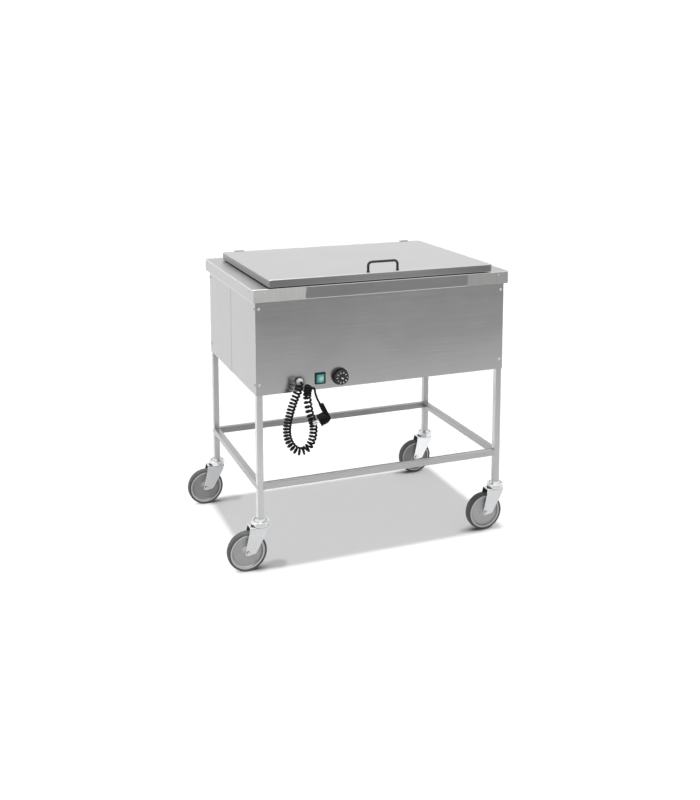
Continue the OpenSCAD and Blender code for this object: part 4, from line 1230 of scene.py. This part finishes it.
    def contact(self, tree, place):
        """A painted contact shadow close round the wheels, dark towards the
        middle.

        It is the share of open sky near the floor, looked for round a
        direction that leans outwards from X = 0.
        """
        outwards = maths(tree, "SIGN", coordinate(tree, place, X))
        lean = add(tree, "ShaderNodeCombineXYZ", inputs={
            0: maths(tree, "MULTIPLY", outwards, 1.2), 2: 1.0}).outputs[0]
        lean = add(tree, "ShaderNodeVectorMath", operation="NORMALIZE",
                   inputs={0: lean}).outputs[0]
        free = add(tree, "ShaderNodeAmbientOcclusion", samples=8,
                   inputs={"Distance": 0.055, "Normal": lean}).outputs["AO"]
        return band(tree, free, 0.3, 0.85, 0.12, 1.0)

    def seen(self, tree):
        """1 for rays of the camera, of shiny surfaces and through glass."""
        path = add(tree, "ShaderNodeLightPath")
        return maths(tree, "MAXIMUM", path.outputs["Is Camera Ray"],
                     maths(tree, "MAXIMUM", path.outputs["Is Glossy Ray"],
                           path.outputs["Is Transmission Ray"]))

    def dark_front(self, studio):
        """Dim floor before the trolley and dim wall behind the camera.

        Only glossy rays meet them, so that the steel shows a studio that
        darkens towards the front. The level falls from the near floor's to
        the far floor's as a power of the distance along Y.
        """
        material = bpy.data.materials.new("Dim studio")
        material.use_nodes = True
        tree = material.node_tree
        tree.nodes.clear()
        place = add(tree, "ShaderNodeTexCoord").outputs["Object"]
        near = add(tree, "ShaderNodeMapRange", inputs={
            "Value": coordinate(tree, place, Y), "From Min": self.DIM_FROM,
            "From Max": self.DIM_TO}).outputs[0]
        rise = maths(tree, "MULTIPLY", maths(
            tree, "POWER", near, self.DIM_POWER), self.DIM_RISE)
        level = maths(tree, "MINIMUM", maths(
            tree, "ADD", rise, studio.front_low), studio.front_high)
        glow = add(tree, "ShaderNodeEmission", inputs={"Strength": level})
        add(tree, "ShaderNodeOutputMaterial",
            inputs={"Surface": glow.outputs[0]})
        half, back, front = self.DIM_HALF, self.DIM_BACK, self.DIM_FRONT
        top, low = self.DIM_TOP, self.DIM_LOW
        for name, corners in (
                ("flag_wall", [(-half, back, 0), (half, back, 0),
                               (half, back, top), (-half, back, top)]),
                ("flag_floor", [(-half, back, low), (half, back, low),
                                (half, front, low), (-half, front, low)])):
            card = self.card(name, material, corners)
            card.visible_camera = card.visible_diffuse = False
            card.visible_shadow = card.visible_transmission = False
            card.visible_volume_scatter = False

    def card(self, name, material, corners):
        """A flat four-cornered piece of the stage."""
        mesh = bpy.data.meshes.new(name)
        mesh.from_pydata(corners, [], [(0, 1, 2, 3)])
        mesh.materials.append(material)
        card = bpy.data.objects.new(name, mesh)
        bpy.context.scene.collection.objects.link(card)
        return card

    def world(self, scene):
        """White to the camera and to shiny surfaces, plain grey light.

        The camera's white equals the open floor's, so no horizon shows.
        """
        world = bpy.data.worlds.new("Studio")
        scene.world = world
        world.use_nodes = True
        tree = world.node_tree
        back = tree.nodes["Background"]
        back.inputs["Color"].default_value = (1, 1, 1, 1)
        light = band(tree, self.seen(tree), 0.0, 1.0, self.WORLD_LIGHT, 1.0)
        path = add(tree, "ShaderNodeLightPath")
        tree.links.new(maths(
            tree, "MAXIMUM", light,
            maths(tree, "MULTIPLY", path.outputs["Is Camera Ray"],
                  self.WORLD_SEEN)), back.inputs["Strength"])


# ------------------------------------------------------------------- panel

STEPS = (("trolley_studio", TROLLEY_OT_studio),
         ("trolley_lead", TROLLEY_OT_lead),
         ("trolley_steel", TROLLEY_OT_body),
         ("trolley_steel", TROLLEY_OT_legs),
         (None, TROLLEY_OT_handle),
         ("trolley_casters", TROLLEY_OT_casters),
         ("trolley_controls", TROLLEY_OT_controls))


class TROLLEY_PT_looks(bpy.types.Panel):
    """Lists the trolley's settings and the steps that make its looks"""

    bl_idname = "TROLLEY_PT_looks"
    bl_label = "Trolley"
    bl_space_type = "VIEW_3D"
    bl_region_type = "UI"
    bl_category = "Trolley"

    def draw(self, context):
        shown = set()
        for group, step in STEPS:
            box = self.layout.box()
            if group and group not in shown:
                shown.add(group)
                settings = getattr(context.scene, group)
                for key in settings.bl_rna.properties.keys():
                    if key not in ("name", "rna_type"):
                        box.prop(settings, key)
            box.operator(step.bl_idname)


SETTINGS = {"trolley_steel": SteelSettings, "trolley_lead": LeadSettings,
            "trolley_controls": ControlSettings,
            "trolley_casters": CasterSettings,
            "trolley_studio": StudioSettings}
CLASSES = (*SETTINGS.values(), *(step for _, step in STEPS),
           TROLLEY_PT_looks)


def register():
    """Add the settings, the steps and the panel."""
    for cls in CLASSES:
        bpy.utils.register_class(cls)
    for name, cls in SETTINGS.items():
        setattr(bpy.types.Scene, name, bpy.props.PointerProperty(type=cls))


def unregister():
    """Take them away again."""
    for name in SETTINGS:
        delattr(bpy.types.Scene, name)
    for cls in reversed(CLASSES):
        bpy.utils.unregister_class(cls)


def main():
    """Build the looks."""
    register()
    brushed_group()
    moulded_group()
    bpy.ops.trolley.studio()
    bpy.ops.trolley.lead()
    bpy.ops.trolley.body()
    bpy.ops.trolley.legs()
    bpy.ops.trolley.handle()
    bpy.ops.trolley.casters()
    bpy.ops.trolley.controls()


if __name__ == "__main__":
    main()
